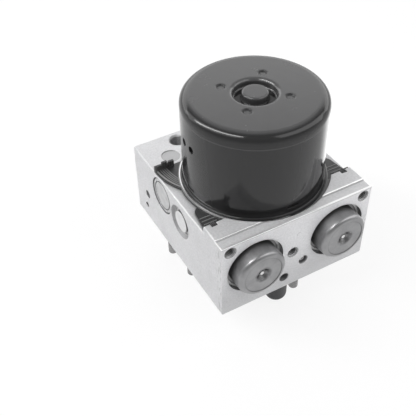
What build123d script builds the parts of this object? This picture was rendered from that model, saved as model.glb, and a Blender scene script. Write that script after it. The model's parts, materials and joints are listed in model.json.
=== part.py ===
from build123d import *
import math
import os

# Hydraulic unit of an anti-lock brake system: an aluminium valve block with a pump motor on its
# deck and two low-pressure accumulators in front. A pump element and a damper sit in each side, and
# the solenoid valve domes, a pressure sensor and the motor connector stand out below.
# Millimetres. The origin is where the motor's axis meets the underside of the block, the face that
# the electronics bolt to. +Z runs up the motor, and the accumulators stand on the -Y face.

# Valve block
block_width = 108.0
block_depth = 117.5
block_front = -52.5            # Y of the accumulator face
deck_height = 53.7
strip_rise = 5.0               # the front strip is left standing above the milled deck
strip_depth = 21.2
ledge_width = 7.6
ledge_depth = 0.5
block_corner_radius = 1.2
deck_edge_chamfer = 0.6
front_edge_chamfer = 0.4
motor_pocket_margin = 1.8      # between the base frame's disc and the pocket in the strip
notch_inset = 6.7              # from the side face to the middle of the clip's notch
notch_width = 4.2
notch_depth = 2.6

# Motor
can_radius = 45.0
can_wall = 1.6
can_height = 62.7              # from the deck to the flat top
shoulder_radius = 6.5
recess_radius = 13.3
recess_depth = 5.0
recess_lip = 2.2
boss_radius = 8.0
boss_rise = 0.2                # the boss stands this far above the flat top
boss_edge_radius = 0.8
dimple_circle_radius = 20.8
dimple_radius = 2.9
dimple_floor_radius = 2.4
dimple_depth = 0.8
dimple_count = 4
vent_radius = 2.4
vent_drop = 24.1               # from the flat top to the two vents in the can's side
vent_angles = (171.3, -177.2)
stake_width = 7.4
stake_height = 1.5
stake_rise = 5.4               # from the can's foot to the four slots that hold the end plate
stake_count = 4
foot_width = 1.5               # the flared foot stands this far out of the can's side
foot_thickness = 1.0
foot_flare = 1.3
flange_ring_width = 0.6
flange_ring_thickness = 0.5
flange_ring_clearance = 0.1
end_plate_thickness = 3.0
spigot_radius = 32.9
spigot_clearance = 0.1

# Base frame between motor and block
frame_thickness = 1.9          # under the motor
frame_rim = 0.7                # its disc stands this far out of the flange ring
lobe_thickness = 1.1           # of the four corners
back_lobe_start = 9.0          # Y where the back corners leave the disc
back_lobe_inset = 2.2          # from the side face, half way along the edge
back_lobe_middle = 18.7
front_lobe_start = -10.8
front_lobe_insets = (7.6, 4.8, 3.4, 2.0, 0.8)
front_lobe_shoulder = -12.6    # Y of the points that the insets go with
front_lobe_corner = -15.6
front_lobe_end = -26.5
lobe_root = 30.0               # half width that the corners share with the disc
rim_width = 1.3
rim_height = 0.8
rim_inset = 1.3
ridge_width = 0.5
ridge_height = 0.3
ridge_start = 3.6
ridge_pitch = 1.4
ridge_count = 4
rail_front = 32.0
rail_thickness = 1.7
rail_height = 4.9
rail_outer_inset = 0.1
rail_length = 13.6
rail_block_start = 5.2         # from the rail's outer end
rail_block_end = 8.9
rail_block_rise = 1.5
rail_notch_end = 10.0
rail_notch_drop = 0.8
rail_end_rise = 0.5
rail_groove_width = 0.6
rail_groove_depth = 0.3
rail_groove_pitch = 1.7
rail_groove_count = 7
front_wall_thickness = 1.6
front_wall_height = 4.2
front_wall_outer_inset = 1.0
front_wall_inner_inset = 12.0
front_rib_count = 3
clip_gap = 0.3                 # the clip's top lies this far below the strip's
clip_groove_width = 0.4
clip_groove_depth = 0.6
clip_groove_pitch = 1.0
fit_clearance = 0.2            # moulded frame to machined block

# Rotor
shaft_radius = 4.0
shaft_below_pumps = 8.3        # the shaft ends this far below the pumps' line
shaft_top_gap = 0.6
eccentric_throw = 1.0
eccentric_radius = 6.5
eccentric_length = 10.0
eccentric_ring_outer = 10.0
eccentric_chamber_radius = 13.5
eccentric_chamber_depth = 10.8  # from the pumps' line to its floor
running_clearance = 0.05
air_gap = 0.95                 # between magnets and armature
core_slots = 12
slot_width = 5.0
slot_mouth = 2.6
slot_lip = 1.6
winding_clearance = 0.25
end_turn_height = 5.0
end_turn_gap = 1.1             # between the brush boxes and the end turns
end_turn_headroom = 0.7        # below the can's recess
end_turn_reach = 6.0           # from the slots' floor inwards
end_turn_bore_gap = 3.8        # round the commutator
commutator_radius = 12.0
commutator_lift = 1.6          # above the end plate
commutator_length = 10.0
commutator_segments = 12
commutator_slit = 0.5
commutator_slit_depth = 1.0
magnet_thickness = 5.6
magnet_overhang = 2.0          # past each end of the armature
magnet_arc = 68.0              # degrees
magnet_count = 4
brush_plate_thickness = 2.8
brush_width = 6.0
brush_height = 6.0
brush_length = 12.0
brush_spring_length = 9.0
brush_spring_radius = 2.4
brush_spring_wire = 0.4
brush_spring_turns = 4
brush_box_wall = 1.2
bush_length = 7.0

# Lower ball bearing
bearing_radius = 11.0
bearing_width = 7.0
bearing_ball_radius = 1.95
bearing_ball_count = 7
bearing_race_wall = 2.0
groove_clearance = 0.04

# Pump elements, one in each side
pump_drop = 16.9               # from the deck to the pumps' line
pump_piston_radius = 3.5
pump_piston_length = 20.0
pump_tip_clearance = 0.1
pump_tip_chamfer = 0.6
pump_cylinder_radius = 7.45
pump_cylinder_start = 16.0     # X of the cylinder's inner end
pump_cylinder_length = 21.5
pump_cylinder_floor = 1.0
pump_delivery_radius = 1.2
pump_spring_wire = 0.45
pump_spring_turns = 3.0
pump_spring_gap = 0.4          # between the coil and the piston's outline
pump_plug_radius = 9.5
pump_plug_recess = 2.6
pump_plug_boss_radius = 7.4
pump_plug_boss_rise = 1.9
pump_plug_edge = 0.3
pump_mouth_radius = 11.9       # conical mouth of the bore
pump_mouth_floor_radius = 9.9
pump_mouth_depth = 2.2

# Damper plugs behind the pump elements
damper_y = 24.9
damper_drop = 13.9             # from the deck to the dampers' line
damper_radius = 13.0
damper_depth = 24.0
damper_plug_length = 9.0
damper_plug_recess = 0.6
damper_plug_chamfer = 0.9
damper_groove_radius = 10.3
damper_groove_width = 0.7
damper_groove_depth = 0.6

# Accumulators
accumulator_x = 30.1
accumulator_drop = 21.3        # from the deck to the accumulators' line
accumulator_bore_radius = 15.5
accumulator_bore_end = -24.3   # Y of the bore's floor
accumulator_counterbore_radius = 19.8
accumulator_counterbore_depth = 6.0
cup_radius = 16.5
cup_wall = 1.2
cup_protrusion = 9.1
cup_edge_radius = 3.4
cup_face_radius = 12.9
cup_face_recess = 0.3
cup_flange_radius = 19.0
cup_flange_thickness = 1.5
cup_dimple_radius = 4.8
cup_dimple_floor = 2.4         # radius of the dimple's floor
cup_dimple_depth = 2.6
cup_dimple_lip = 0.9
cup_nub_radius = 1.6
cup_nub_rise = 1.1
cup_nub_edge = 0.6
retaining_ring_thickness = 1.2
retaining_ring_inner = 18.3
accumulator_piston_gap = 0.3   # from the bore's floor
accumulator_piston_length = 7.0
accumulator_piston_pocket_radius = 11.0
accumulator_piston_pocket_depth = 3.0
accumulator_seal_place = 2.2   # from the piston's inner end
accumulator_seal_section = 1.2
accumulator_spring_radius = 9.0
accumulator_spring_wire = 1.2
accumulator_spring_turns = 5.0
seat_clearance = 0.05

# Solenoid valves, seen as domes below the block
valve_row_ys = (34.0, 8.4, -17.5)
valve_outer_xs = (44.5, 42.8, 34.0)
valve_inner_xs = (15.0, 15.0, 11.5)
valve_flange_radius = 6.5
valve_flange_depth = 3.0
valve_seat_radius = 4.4
valve_seat_depth = 13.0
dome_radius = 3.3
dome_wall = 0.4
dome_length = 26.0
dome_tip_radius = 1.6
armature_length = 12.0
armature_stroke = 0.4
armature_rest_gap = 0.1
valve_air_gap = 0.6
valve_spring_radius = 1.3
valve_spring_wall = 0.5
valve_spring_length = 5.0

# Motor connector and pressure sensor
tower_x = -3.1
tower_inset = 5.6              # from the can's inside to the tower's middle
tower_radius = 7.4
tower_length = 26.0
tower_tip_radius = 5.0
tower_stem_radius = 5.1
tower_head_depth = 3.0
pin_radius = 0.8
pin_spacing = 5.0
pin_socket_radius = 1.5
pin_socket_depth = 9.0
pin_tip_gap = 1.5              # the pins end this far inside the tower
sensor_x = 11.9
sensor_offset = 0.5            # the sensor stands this far behind the tower
sensor_body_radius = 5.5
sensor_body_depth = 10.0

# Holes
mount_thread_radius = 3.4      # tapping size of M8
mount_thread_mouth = 3.9
mount_thread_depth = 11.0
mount_inset = 6.0
mount_drop = 5.9               # below the strip's top
mount_centre_x = -2.8
mount_centre_z = 29.3
mount_centre_depth = 8.5
port_thread_radius = 5.5       # tapping size of M12 x 1
port_mouth_radius = 6.2
port_depth = 14.0
port_seat_radius = 2.0
port_seat_depth = 4.0
top_port_inset = 8.5
top_port_xs = (-25.0, -8.4, 8.4, 25.0)
rear_port_xs = (-20.0, 20.0)
rear_port_z = 22.0
spot_face_inset = 17.0
spot_face_back_inset = 21.9
spot_face_radius = 6.4
spot_face_depth = 0.4
drilling_insets = (17.0, 14.2)  # from the back, in each side
drilling_heights = (23.3, 11.9)
drilling_radii = (3.2, 2.1)
drilling_depth = 10.0
drilling_ball_depth = 3.0
front_plug_x = 5.9
front_plug_z = 17.9
front_plug_radius = 3.0
front_plug_mouth = 3.5
front_drilling_x = -8.2
front_drilling_z = 9.1
front_drilling_radius = 3.3
front_drilling_depth = 7.5
ball_recess = 1.0
ball_clearance = 0.01
cover_screw_inset = 8.0
cover_screw_front_inset = 8.0
cover_screw_back_inset = 7.0
cover_screw_radius = 2.1       # tapping size of M5
cover_screw_depth = 12.0
motor_screw_back_y = 30.0
motor_screw_front_y = -18.0
motor_screw_front_x = 22.7
motor_screw_radius = 2.5
motor_screw_head_radius = 4.2
motor_screw_head_height = 3.0
motor_screw_socket_radius = 2.2
motor_screw_socket_depth = 2.0
screw_clearance = 0.25
press_clearance = 0.02

# Levels and places that follow from the sizes above
block_back = block_front + block_depth
strip_height = deck_height + strip_rise
strip_back = block_front + strip_depth
side_x = block_width / 2
notch_x = side_x - notch_inset
mount_x = side_x - mount_inset
mount_z = strip_height - mount_drop
top_port_y = block_back - top_port_inset
spot_face_x = side_x - spot_face_inset
spot_face_y = block_back - spot_face_back_inset
cover_screw_x = side_x - cover_screw_inset
cover_screw_ys = (block_front + cover_screw_front_inset, block_back - cover_screw_back_inset)
pump_height = deck_height - pump_drop
damper_height = deck_height - damper_drop
accumulator_height = deck_height - accumulator_drop
eccentric_chamber_bottom = pump_height - eccentric_chamber_depth
shaft_bottom = pump_height - shaft_below_pumps
can_top = deck_height + can_height
plate_bottom = deck_height + frame_thickness
lobe_top = deck_height + lobe_thickness
can_inner = can_radius - can_wall
foot_radius = can_radius + foot_width
flange_ring_inner = foot_radius + flange_ring_clearance
flange_ring_outer = flange_ring_inner + flange_ring_width
frame_radius = flange_ring_outer + frame_rim
motor_pocket_radius = frame_radius + motor_pocket_margin
vent_height = can_top - vent_drop
stake_level = plate_bottom + stake_rise
boss_top = can_top + boss_rise
shaft_top = boss_top - can_wall - shaft_top_gap
bush_radius = boss_radius - can_wall - press_clearance
piston_tip = eccentric_ring_outer + eccentric_throw + pump_tip_clearance
cylinder_end = pump_cylinder_start + pump_cylinder_length
cup_end = block_front - cup_protrusion
cup_seat = block_front + accumulator_counterbore_depth
cup_spring_seat = cup_end + cup_face_recess + cup_wall
bearing_top = plate_bottom + end_plate_thickness
bearing_bottom = bearing_top - bearing_width
bearing_pitch = (shaft_radius + bearing_radius) / 2
bearing_middle = (bearing_bottom + bearing_top) / 2
brush_floor = bearing_top + brush_plate_thickness
core_bottom = brush_floor + brush_height + end_turn_gap + end_turn_height
core_length = can_top - recess_depth - can_wall - end_turn_headroom - end_turn_height - core_bottom
magnet_inner = can_inner - running_clearance - magnet_thickness
magnet_length = core_length + 2 * magnet_overhang
core_radius = magnet_inner - air_gap
end_turn_inner = commutator_radius + end_turn_bore_gap
slot_floor = end_turn_inner + end_turn_reach
commutator_bottom = bearing_top + commutator_lift
tower_y = tower_inset - can_inner
sensor_y = tower_y + sensor_offset
valve_places = [(x, y) for y, inner, outer in zip(valve_row_ys, valve_inner_xs, valve_outer_xs)
                for x in (-outer, -inner, inner, outer)]
drilling_places = list(zip(drilling_insets, drilling_heights, drilling_radii))
motor_screw_places = ((0.0, motor_screw_back_y), (-motor_screw_front_x, motor_screw_front_y),
                      (motor_screw_front_x, motor_screw_front_y))
beyond = 1.0                   # cuts run this far past the faces that they open


def post(radius, low, high, x=0.0, y=0.0):
    """A round bar along Z."""
    return Pos(x, y, (low + high) / 2) * Cylinder(radius, high - low)


def bar_x(radius, low, high, y, z):
    """A round bar along X."""
    return Pos((low + high) / 2, y, z) * Rot(0, 90, 0) * Cylinder(radius, high - low)


def bar_y(radius, low, high, x, z):
    """A round bar along Y."""
    return Pos(x, (low + high) / 2, z) * Rot(90, 0, 0) * Cylinder(radius, high - low)


def slab(x_low, x_high, y_low, y_high, z_low, z_high):
    """A box from its two corners."""
    size = Box(x_high - x_low, y_high - y_low, z_high - z_low)
    return Pos((x_low + x_high) / 2, (y_low + y_high) / 2, (z_low + z_high) / 2) * size


def turned(points, rounds=()):
    """Revolves (radius, height) points about Z. Rounds are (radius, height, fillet) corners."""
    face = make_face(Polyline(*points, close=True))
    for radius, height, size in rounds:
        corner = [v for v in face.vertices() if abs(v.X - radius) + abs(v.Y - height) < 1e-6]
        face = fillet(corner, size)
    return revolve(Plane.XZ * face, Axis.Z)


def along_front(shape, x, z):
    """Turns a shape made about Z so that its +Z points out of the front face, at x and z."""
    return Pos(x, 0, z) * Rot(90, 0, 0) * shape


def mirrored(shape):
    """The same piece on the other side of the motor's plane."""
    return mirror(shape, Plane.YZ)


def coil(radius, wire, low, high, turns):
    """A helical spring about Z, with its square wire just inside low and high."""
    length = high - low - 2 * wire
    path = Helix(pitch=length / turns, height=length, radius=radius)
    section = Plane(origin=path @ 0, z_dir=path % 0) * Rectangle(2 * wire, 2 * wire)
    return Pos(0, 0, low + wire) * sweep(section, path, is_frenet=True)


def group(shapes):
    """Several separate solids in one node."""
    return Compound(children=[solid for shape in shapes for solid in shape.solids()])


def tapped(radius, mouth, depth):
    """A blind threaded hole below Z 0, with a countersunk mouth."""
    lead = mouth - radius
    return turned([(0, -depth), (radius, -depth), (radius, -lead), (mouth, 0), (mouth, beyond),
                   (0, beyond)])


def port():
    """A brake-line port below Z 0: thread, countersink and a drilling at the bottom."""
    thread = tapped(port_thread_radius, port_mouth_radius, port_depth)
    return thread + post(port_seat_radius, -port_depth - port_seat_depth, beyond - port_depth)


def bare_block():
    """The extruded bar with its deck, ledge, motor pocket and clip notches milled."""
    section = Plane.XZ * Pos(0, strip_height / 2) * RectangleRounded(
        block_width, strip_height, block_corner_radius)
    bar = Pos(0, block_front, 0) * extrude(section, amount=-block_depth)
    over = strip_height + beyond
    deck = slab(-side_x - beyond, side_x + beyond, strip_back, block_back + beyond, deck_height, over)
    ledge = slab(-side_x - beyond, side_x + beyond, block_front - beyond, block_front + ledge_width,
                 strip_height - ledge_depth, over)
    bar = bar - deck - ledge
    along = bar.edges().filter_by(Axis.Y)
    deck_edges = [e for e in along if abs(e.center().Z - deck_height) < beyond / 10
                  and abs(abs(e.center().X) - side_x) < beyond / 10]
    bar = chamfer(deck_edges, deck_edge_chamfer)
    front_edge = bar.edges().filter_by(Axis.X).sort_by(Axis.Y)[:4].sort_by(Axis.Z)[-1]
    bar = chamfer(front_edge, front_edge_chamfer) - post(motor_pocket_radius, deck_height, over)
    for x in (-notch_x, notch_x):
        bar -= slab(x - notch_width / 2, x + notch_width / 2, strip_back - notch_depth,
                    strip_back + beyond, deck_height, over)
    return bar


def side_holes():
    """What is bored into the left side: pump element, damper and cross drillings."""
    pump = bar_x(pump_cylinder_radius + seat_clearance, -cylinder_end, 0, 0, pump_height)
    pump += bar_x(pump_plug_radius + seat_clearance, -side_x - beyond, -cylinder_end, 0, pump_height)
    mouth = Cone(pump_mouth_radius, pump_mouth_floor_radius, pump_mouth_depth)
    pump += Pos(pump_mouth_depth / 2 - side_x, 0, pump_height) * Rot(0, 90, 0) * mouth
    holes = [pump, bar_x(damper_radius, -side_x - beyond, -side_x + damper_depth, damper_y,
                         damper_height)]
    for inset, z, radius in drilling_places:
        holes.append(bar_x(radius, -side_x - beyond, -side_x + drilling_depth, block_back - inset, z))
    return holes


def front_holes():
    """Accumulator bores, mounting threads and drillings in the front face."""
    holes = []
    for x in (-accumulator_x, accumulator_x):
        holes.append(bar_y(accumulator_bore_radius, cup_seat - beyond, accumulator_bore_end, x,
                           accumulator_height))
        holes.append(bar_y(accumulator_counterbore_radius, block_front - beyond, cup_seat, x,
                           accumulator_height))
    for x, z, depth in ((-mount_x, mount_z, mount_thread_depth), (mount_x, mount_z, mount_thread_depth),
                        (mount_centre_x, mount_centre_z, mount_centre_depth)):
        thread = tapped(mount_thread_radius, mount_thread_mouth, depth)
        holes.append(Pos(0, block_front, 0) * along_front(thread, x, z))
    plug = tapped(front_plug_radius, front_plug_mouth, front_drilling_depth)
    holes.append(Pos(0, block_front, 0) * along_front(plug, front_plug_x, front_plug_z))
    holes.append(bar_y(front_drilling_radius, block_front - beyond, block_front + front_drilling_depth,
                       front_drilling_x, front_drilling_z))
    return holes


def deck_holes():
    """Ports, spot faces and the motor's bores in the deck, and the ports in the rear face."""
    over = deck_height + beyond
    holes = [Pos(x, top_port_y, deck_height) * port() for x in top_port_xs]
    holes += [Pos(x, block_back, rear_port_z) * Rot(-90, 0, 0) * port() for x in rear_port_xs]
    for x in (-spot_face_x, spot_face_x):
        holes.append(post(spot_face_radius, deck_height - spot_face_depth, over, x, spot_face_y))
    holes.append(post(eccentric_chamber_radius, eccentric_chamber_bottom, over))
    holes.append(post(tower_stem_radius + seat_clearance, -beyond, over, tower_x, tower_y))
    return holes


def underside_holes():
    """Valve pockets, sensor and connector pockets, and screw holes in the underside."""
    holes = []
    for x, y in valve_places:
        holes.append(post(valve_flange_radius + seat_clearance, -beyond, valve_flange_depth, x, y))
        holes.append(post(valve_seat_radius + seat_clearance, -beyond, valve_seat_depth, x, y))
    holes.append(post(sensor_body_radius + seat_clearance, -beyond, sensor_body_depth, sensor_x,
                      sensor_y))
    holes.append(post(tower_radius + seat_clearance, -beyond, tower_head_depth, tower_x, tower_y))
    for x in (-cover_screw_x, cover_screw_x):
        for y in cover_screw_ys:
            holes.append(post(cover_screw_radius, -beyond, cover_screw_depth, x, y))
    for x, y in motor_screw_places:
        holes.append(post(motor_screw_radius + screw_clearance, -beyond, deck_height + beyond, x, y))
        holes.append(post(motor_screw_head_radius + screw_clearance, -beyond, motor_screw_head_height,
                          x, y))
    return holes


def valve_block():
    """The machined block: every hole is cut from the milled bar."""
    left = side_holes()
    right = [mirrored(hole) for hole in left]
    return bare_block() - (left + right + front_holes() + deck_holes() + underside_holes())


def motor_can():
    """The deep-drawn can: flared foot, rounded shoulder, recessed top with a bearing boss."""
    top_inner = can_top - can_wall
    floor = can_top - recess_depth
    foot_top = plate_bottom + foot_thickness
    outline = [
        (can_inner, plate_bottom), (foot_radius, plate_bottom), (foot_radius, foot_top),
        (can_radius, foot_top), (can_radius, can_top), (recess_radius, can_top), (recess_radius, floor),
        (boss_radius, floor), (boss_radius, boss_top), (0, boss_top), (0, boss_top - can_wall),
        (boss_radius - can_wall, boss_top - can_wall), (boss_radius - can_wall, floor - can_wall),
        (recess_radius + can_wall, floor - can_wall), (recess_radius + can_wall, top_inner),
        (can_inner, top_inner)]
    rounds = [
        (can_radius, foot_top, foot_flare), (can_radius, can_top, shoulder_radius),
        (can_inner, top_inner, shoulder_radius - can_wall), (recess_radius, can_top, recess_lip),
        (boss_radius, boss_top, boss_edge_radius), (boss_radius, floor, boss_edge_radius),
        (recess_radius, floor, boss_edge_radius)]
    can = turned(outline, rounds)
    for k in range(dimple_count):
        angle = math.radians(45 + 360 * k / dimple_count)
        can -= Pos(dimple_circle_radius * math.cos(angle), dimple_circle_radius * math.sin(angle),
                   can_top - dimple_depth / 2) * Cone(dimple_floor_radius, dimple_radius, dimple_depth)
    for angle in vent_angles:
        can -= Rot(0, 0, angle) * bar_x(vent_radius, can_inner - beyond, can_radius + beyond, 0,
                                        vent_height)
    stake = slab(can_inner - beyond, can_radius + beyond, -stake_width / 2, stake_width / 2,
                 stake_level - stake_height / 2, stake_level + stake_height / 2)
    return can - [Rot(0, 0, 360 * k / stake_count) * stake for k in range(stake_count)]


def motor_flange_ring():
    """The bright steel ring round the can's foot."""
    ring = post(flange_ring_outer, plate_bottom, plate_bottom + flange_ring_thickness)
    return ring - post(flange_ring_inner, plate_bottom - beyond, plate_bottom + beyond)


def motor_end_plate():
    """The steel plate that closes the can, centres on the block and holds the lower bearing."""
    low = deck_height - beyond
    high = bearing_top + beyond
    plate = post(can_inner - fit_clearance, plate_bottom, bearing_top)
    plate += post(spigot_radius, deck_height, bearing_top)
    plate -= post(bearing_radius, low, high)
    plate -= post(tower_stem_radius + seat_clearance, low, high, tower_x, tower_y)
    for x, y in motor_screw_places:
        plate -= post(motor_screw_radius, low, high, x, y)
    return plate


def bead(curve, width, height):
    """A raised bead of the base frame along a line on its corners."""
    return Pos(0, 0, lobe_top) * extrude(trace(curve, width), amount=height)


def back_edge(inset):
    """The outer edge of the back right corner, moved inwards."""
    waist = math.sqrt(frame_radius ** 2 - back_lobe_start ** 2)
    return ThreePointArc((waist - inset, back_lobe_start),
                         (side_x - back_lobe_inset - inset, back_lobe_middle),
                         (side_x - rail_outer_inset - inset, rail_front + rail_thickness))


def back_corner():
    """The back right corner of the base frame, with a rim and fine beads."""
    edge = back_edge(0)
    rail_back = rail_front + rail_thickness
    corner = Polyline(edge @ 1, (lobe_root, rail_back), (lobe_root, back_lobe_start), edge @ 0)
    solid = Pos(0, 0, deck_height) * extrude(make_face([edge, corner]), amount=lobe_thickness)
    solid += bead(back_edge(rim_inset), rim_width, rim_height)
    for k in range(ridge_count):
        solid += bead(back_edge(ridge_start + k * ridge_pitch), ridge_width, ridge_height)
    return solid


def rear_rail():
    """The upright wall along the back right corner, with its block, notch and grooved front."""
    outer = side_x - rail_outer_inset
    inner = outer - rail_length
    back = rail_front + rail_thickness
    top = deck_height + rail_height
    rail = slab(inner, outer, rail_front, back, deck_height, top)
    rail += slab(inner, outer - rail_notch_end, rail_front, back, top, top + rail_end_rise)
    rail += slab(outer - rail_block_end, outer - rail_block_start, rail_front, back, top,
                 top + rail_block_rise)
    rail -= slab(outer - rail_notch_end, outer - rail_block_end, rail_front - beyond, back + beyond,
                 top - rail_notch_drop, top + beyond)
    for k in range(rail_groove_count):
        x = inner + (k + 0.5) * rail_groove_pitch
        rail -= slab(x, x + rail_groove_width, rail_front - beyond, rail_front + rail_groove_depth,
                     lobe_top + rim_height, top + 2 * beyond)
    return rail


def front_corner():
    """The front right corner of the base frame, with its ribs and the wall along the strip."""
    seat_y = strip_back + fit_clearance
    start, shoulder, corner, flank, tip = [side_x - inset for inset in front_lobe_insets]
    bend = ThreePointArc((start, front_lobe_start), (shoulder, front_lobe_shoulder),
                         (corner, front_lobe_corner))
    rest = Polyline(bend @ 1, (flank, front_lobe_end), (tip, seat_y), (lobe_root, seat_y),
                    (lobe_root, front_lobe_start), bend @ 0)
    solid = Pos(0, 0, deck_height) * extrude(make_face([bend, rest]), amount=lobe_thickness)
    solid += slab(side_x - front_wall_inner_inset, side_x - front_wall_outer_inset, seat_y,
                  seat_y + front_wall_thickness, deck_height, deck_height + front_wall_height)
    for k in range(front_rib_count):
        y = front_lobe_end + k * 2 * ridge_pitch
        solid += bead(Line((side_x - front_wall_inner_inset, y), (flank - rim_width, y)), ridge_width,
                      ridge_height)
    return solid


def clip():
    """The ribbed tab that locks the right front corner in its notch of the strip."""
    half = notch_width / 2 - fit_clearance
    low = strip_back - notch_depth + fit_clearance
    high = strip_back + fit_clearance + front_wall_thickness
    top = strip_height - clip_gap
    tab = slab(notch_x - half, notch_x + half, low, high, deck_height, top)
    for k in (-1, 0, 1):
        x = notch_x + k * clip_groove_pitch
        tab -= slab(x - clip_groove_width / 2, x + clip_groove_width / 2, low - beyond, high + beyond,
                    top - clip_groove_depth, top + beyond)
    return tab


def base_frame():
    """The moulded black frame under the motor: a disc, four corners, rear rails and front clips."""
    tongue = Circle(motor_pocket_radius - fit_clearance) & (
        Pos(0, strip_back + fit_clearance - strip_depth / 2)
        * Rectangle(2 * motor_pocket_radius, strip_depth))
    frame = Pos(0, 0, deck_height) * extrude(Circle(frame_radius) + tongue, amount=frame_thickness)
    for detail in (back_corner(), rear_rail(), front_corner(), clip()):
        frame = frame + detail + mirrored(detail)
    low = deck_height - beyond
    frame -= post(spigot_radius + spigot_clearance, low, plate_bottom + beyond)
    frame -= post(flange_ring_outer + fit_clearance, plate_bottom, strip_height)
    return frame - post(tower_stem_radius + seat_clearance, low, plate_bottom + beyond, tower_x, tower_y)


def motor_screws():
    """Three long screws, from the underside through the block into the end plate."""
    screws = []
    for x, y in motor_screw_places:
        head = post(motor_screw_head_radius, 0, motor_screw_head_height, x, y)
        head -= Pos(x, y, 0) * extrude(RegularPolygon(motor_screw_socket_radius, 6),
                                       amount=motor_screw_socket_depth)
        shank = post(motor_screw_radius - press_clearance, motor_screw_head_height, bearing_top, x, y)
        screws.append(head + shank)
    return group(screws)


def field_magnets():
    """Curved magnets glued inside the can."""
    low = core_bottom - magnet_overhang
    high = low + magnet_length
    ring = post(magnet_inner + magnet_thickness, low, high)
    ring -= post(magnet_inner, low - beyond, high + beyond)
    half = math.radians(magnet_arc / 2)
    reach = 2 * can_radius
    wedge = make_face(Polyline((0, 0), (reach * math.cos(half), -reach * math.sin(half)),
                               (reach * math.cos(half), reach * math.sin(half)), close=True))
    one = ring & (Pos(0, 0, low) * extrude(wedge, amount=magnet_length))
    return group([Rot(0, 0, 45 + 360 * k / magnet_count) * one for k in range(magnet_count)])


def upper_bush():
    """The sintered bush in the boss of the can."""
    top = boss_top - can_wall
    bore = post(shaft_radius + running_clearance, top - bush_length - beyond, top + beyond)
    return post(bush_radius, top - bush_length, top) - bore


def brush_plate():
    """The plastic brush carrier on the end plate, with two brush boxes."""
    low = bearing_top
    plate = post(can_inner - fit_clearance, low, brush_floor)
    plate -= post(commutator_radius + 2 * beyond, low - beyond, brush_floor + beyond)
    start = commutator_radius + beyond
    end = start + brush_length + brush_spring_length
    half = brush_width / 2 + running_clearance
    outer = half + brush_box_wall
    box = slab(start + beyond, end + brush_box_wall, -outer, outer, low, brush_floor + brush_height)
    bore = slab(start, end, -half, half, brush_floor, brush_floor + brush_height + beyond)
    plate = plate + box + mirrored(box) - bore - mirrored(bore)
    for x in pin_xs():
        plate -= post(pin_radius, low - beyond, brush_floor + beyond, x, tower_y)
    return plate


def brushes():
    """Two carbon brushes, hollowed to the commutator."""
    top = brush_floor + brush_height - fit_clearance
    block = slab(commutator_radius - beyond, commutator_radius + brush_length, -brush_width / 2,
                 brush_width / 2, brush_floor, top)
    block -= post(commutator_radius + running_clearance, brush_floor - beyond, top + beyond)
    return group([block, mirrored(block)])


def brush_springs():
    """The coil springs behind the brushes."""
    start = commutator_radius + brush_length
    spring = coil(brush_spring_radius - brush_spring_wire, brush_spring_wire, start,
                  start + beyond + brush_spring_length, brush_spring_turns)
    right = Pos(0, 0, brush_floor + brush_height / 2) * Rot(0, 90, 0) * spring
    return group([right, mirrored(right)])


def race(inner, outer):
    """A bearing race between two radii, with the balls' groove cut."""
    ring = post(outer, bearing_bottom, bearing_top)
    ring -= post(inner, bearing_bottom - beyond, bearing_top + beyond)
    groove = Circle(bearing_ball_radius + groove_clearance)
    return ring - revolve(Plane.XZ * Pos(bearing_pitch, bearing_middle) * groove, Axis.Z)


def lower_bearing_balls():
    """Loose balls between the races."""
    ball = Pos(bearing_pitch, 0, bearing_middle) * Sphere(bearing_ball_radius)
    return group([Rot(0, 0, 360 * k / bearing_ball_count) * ball for k in range(bearing_ball_count)])


def motor_shaft():
    """The shaft with its eccentric journal, thrown towards +Y at rest."""
    low = pump_height - eccentric_length / 2
    journal = post(eccentric_radius, low, low + eccentric_length, 0, eccentric_throw)
    return post(shaft_radius, shaft_bottom, shaft_top) + journal


def eccentric_bearing_ring():
    """The needle bearing's outer ring, which the pump pistons run on."""
    low = pump_height - eccentric_length / 2
    high = low + eccentric_length
    bore = post(eccentric_radius + running_clearance, low - beyond, high + beyond, 0, eccentric_throw)
    return post(eccentric_ring_outer, low, high, 0, eccentric_throw) - bore


def slot_shape(clearance):
    """One winding slot of the armature, along +X."""
    half = slot_width / 2 - clearance
    inner = slot_floor + clearance
    outer = core_radius - slot_lip - clearance
    return Pos((inner + outer) / 2, 0) * Rectangle(outer - inner, 2 * half)


def slot_mouth_shape():
    """The narrow mouth through which a slot is wound."""
    outer = core_radius + beyond
    return Pos((slot_floor + outer) / 2, 0) * Rectangle(outer - slot_floor, slot_mouth)


def around(sketch, count):
    """Copies of a sketch around the axis."""
    result = sketch
    for k in range(1, count):
        result += Rot(0, 0, 360 * k / count) * sketch
    return result


def armature_core():
    """The slotted stack of laminations."""
    slots = around(slot_shape(0) + slot_mouth_shape(), core_slots)
    outline = Circle(core_radius) - slots - Circle(shaft_radius)
    return Pos(0, 0, core_bottom) * extrude(outline, amount=core_length)


def armature_windings():
    """Copper in the slots, joined by the end turns above and below the core."""
    low = core_bottom - end_turn_height
    high = core_bottom + core_length
    height = end_turn_height - winding_clearance
    bars = Pos(0, 0, low) * extrude(around(slot_shape(winding_clearance), core_slots),
                                    amount=core_length + 2 * height)
    outer = core_radius - slot_lip - winding_clearance
    for start in (low, high + winding_clearance):
        bars += post(outer, start, start + height)
        bars -= post(end_turn_inner, start - beyond, start + height + beyond)
    return bars


def commutator():
    """The copper commutator, slit between its segments."""
    top = commutator_bottom + commutator_length
    body = post(commutator_radius, commutator_bottom, top)
    slit = slab(commutator_radius - commutator_slit_depth, commutator_radius + beyond,
                -commutator_slit / 2, commutator_slit / 2, commutator_bottom - beyond, top + beyond)
    body -= [Rot(0, 0, 360 * k / commutator_segments) * slit for k in range(commutator_segments)]
    return body - post(shaft_radius, commutator_bottom - beyond, top + beyond)


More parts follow.
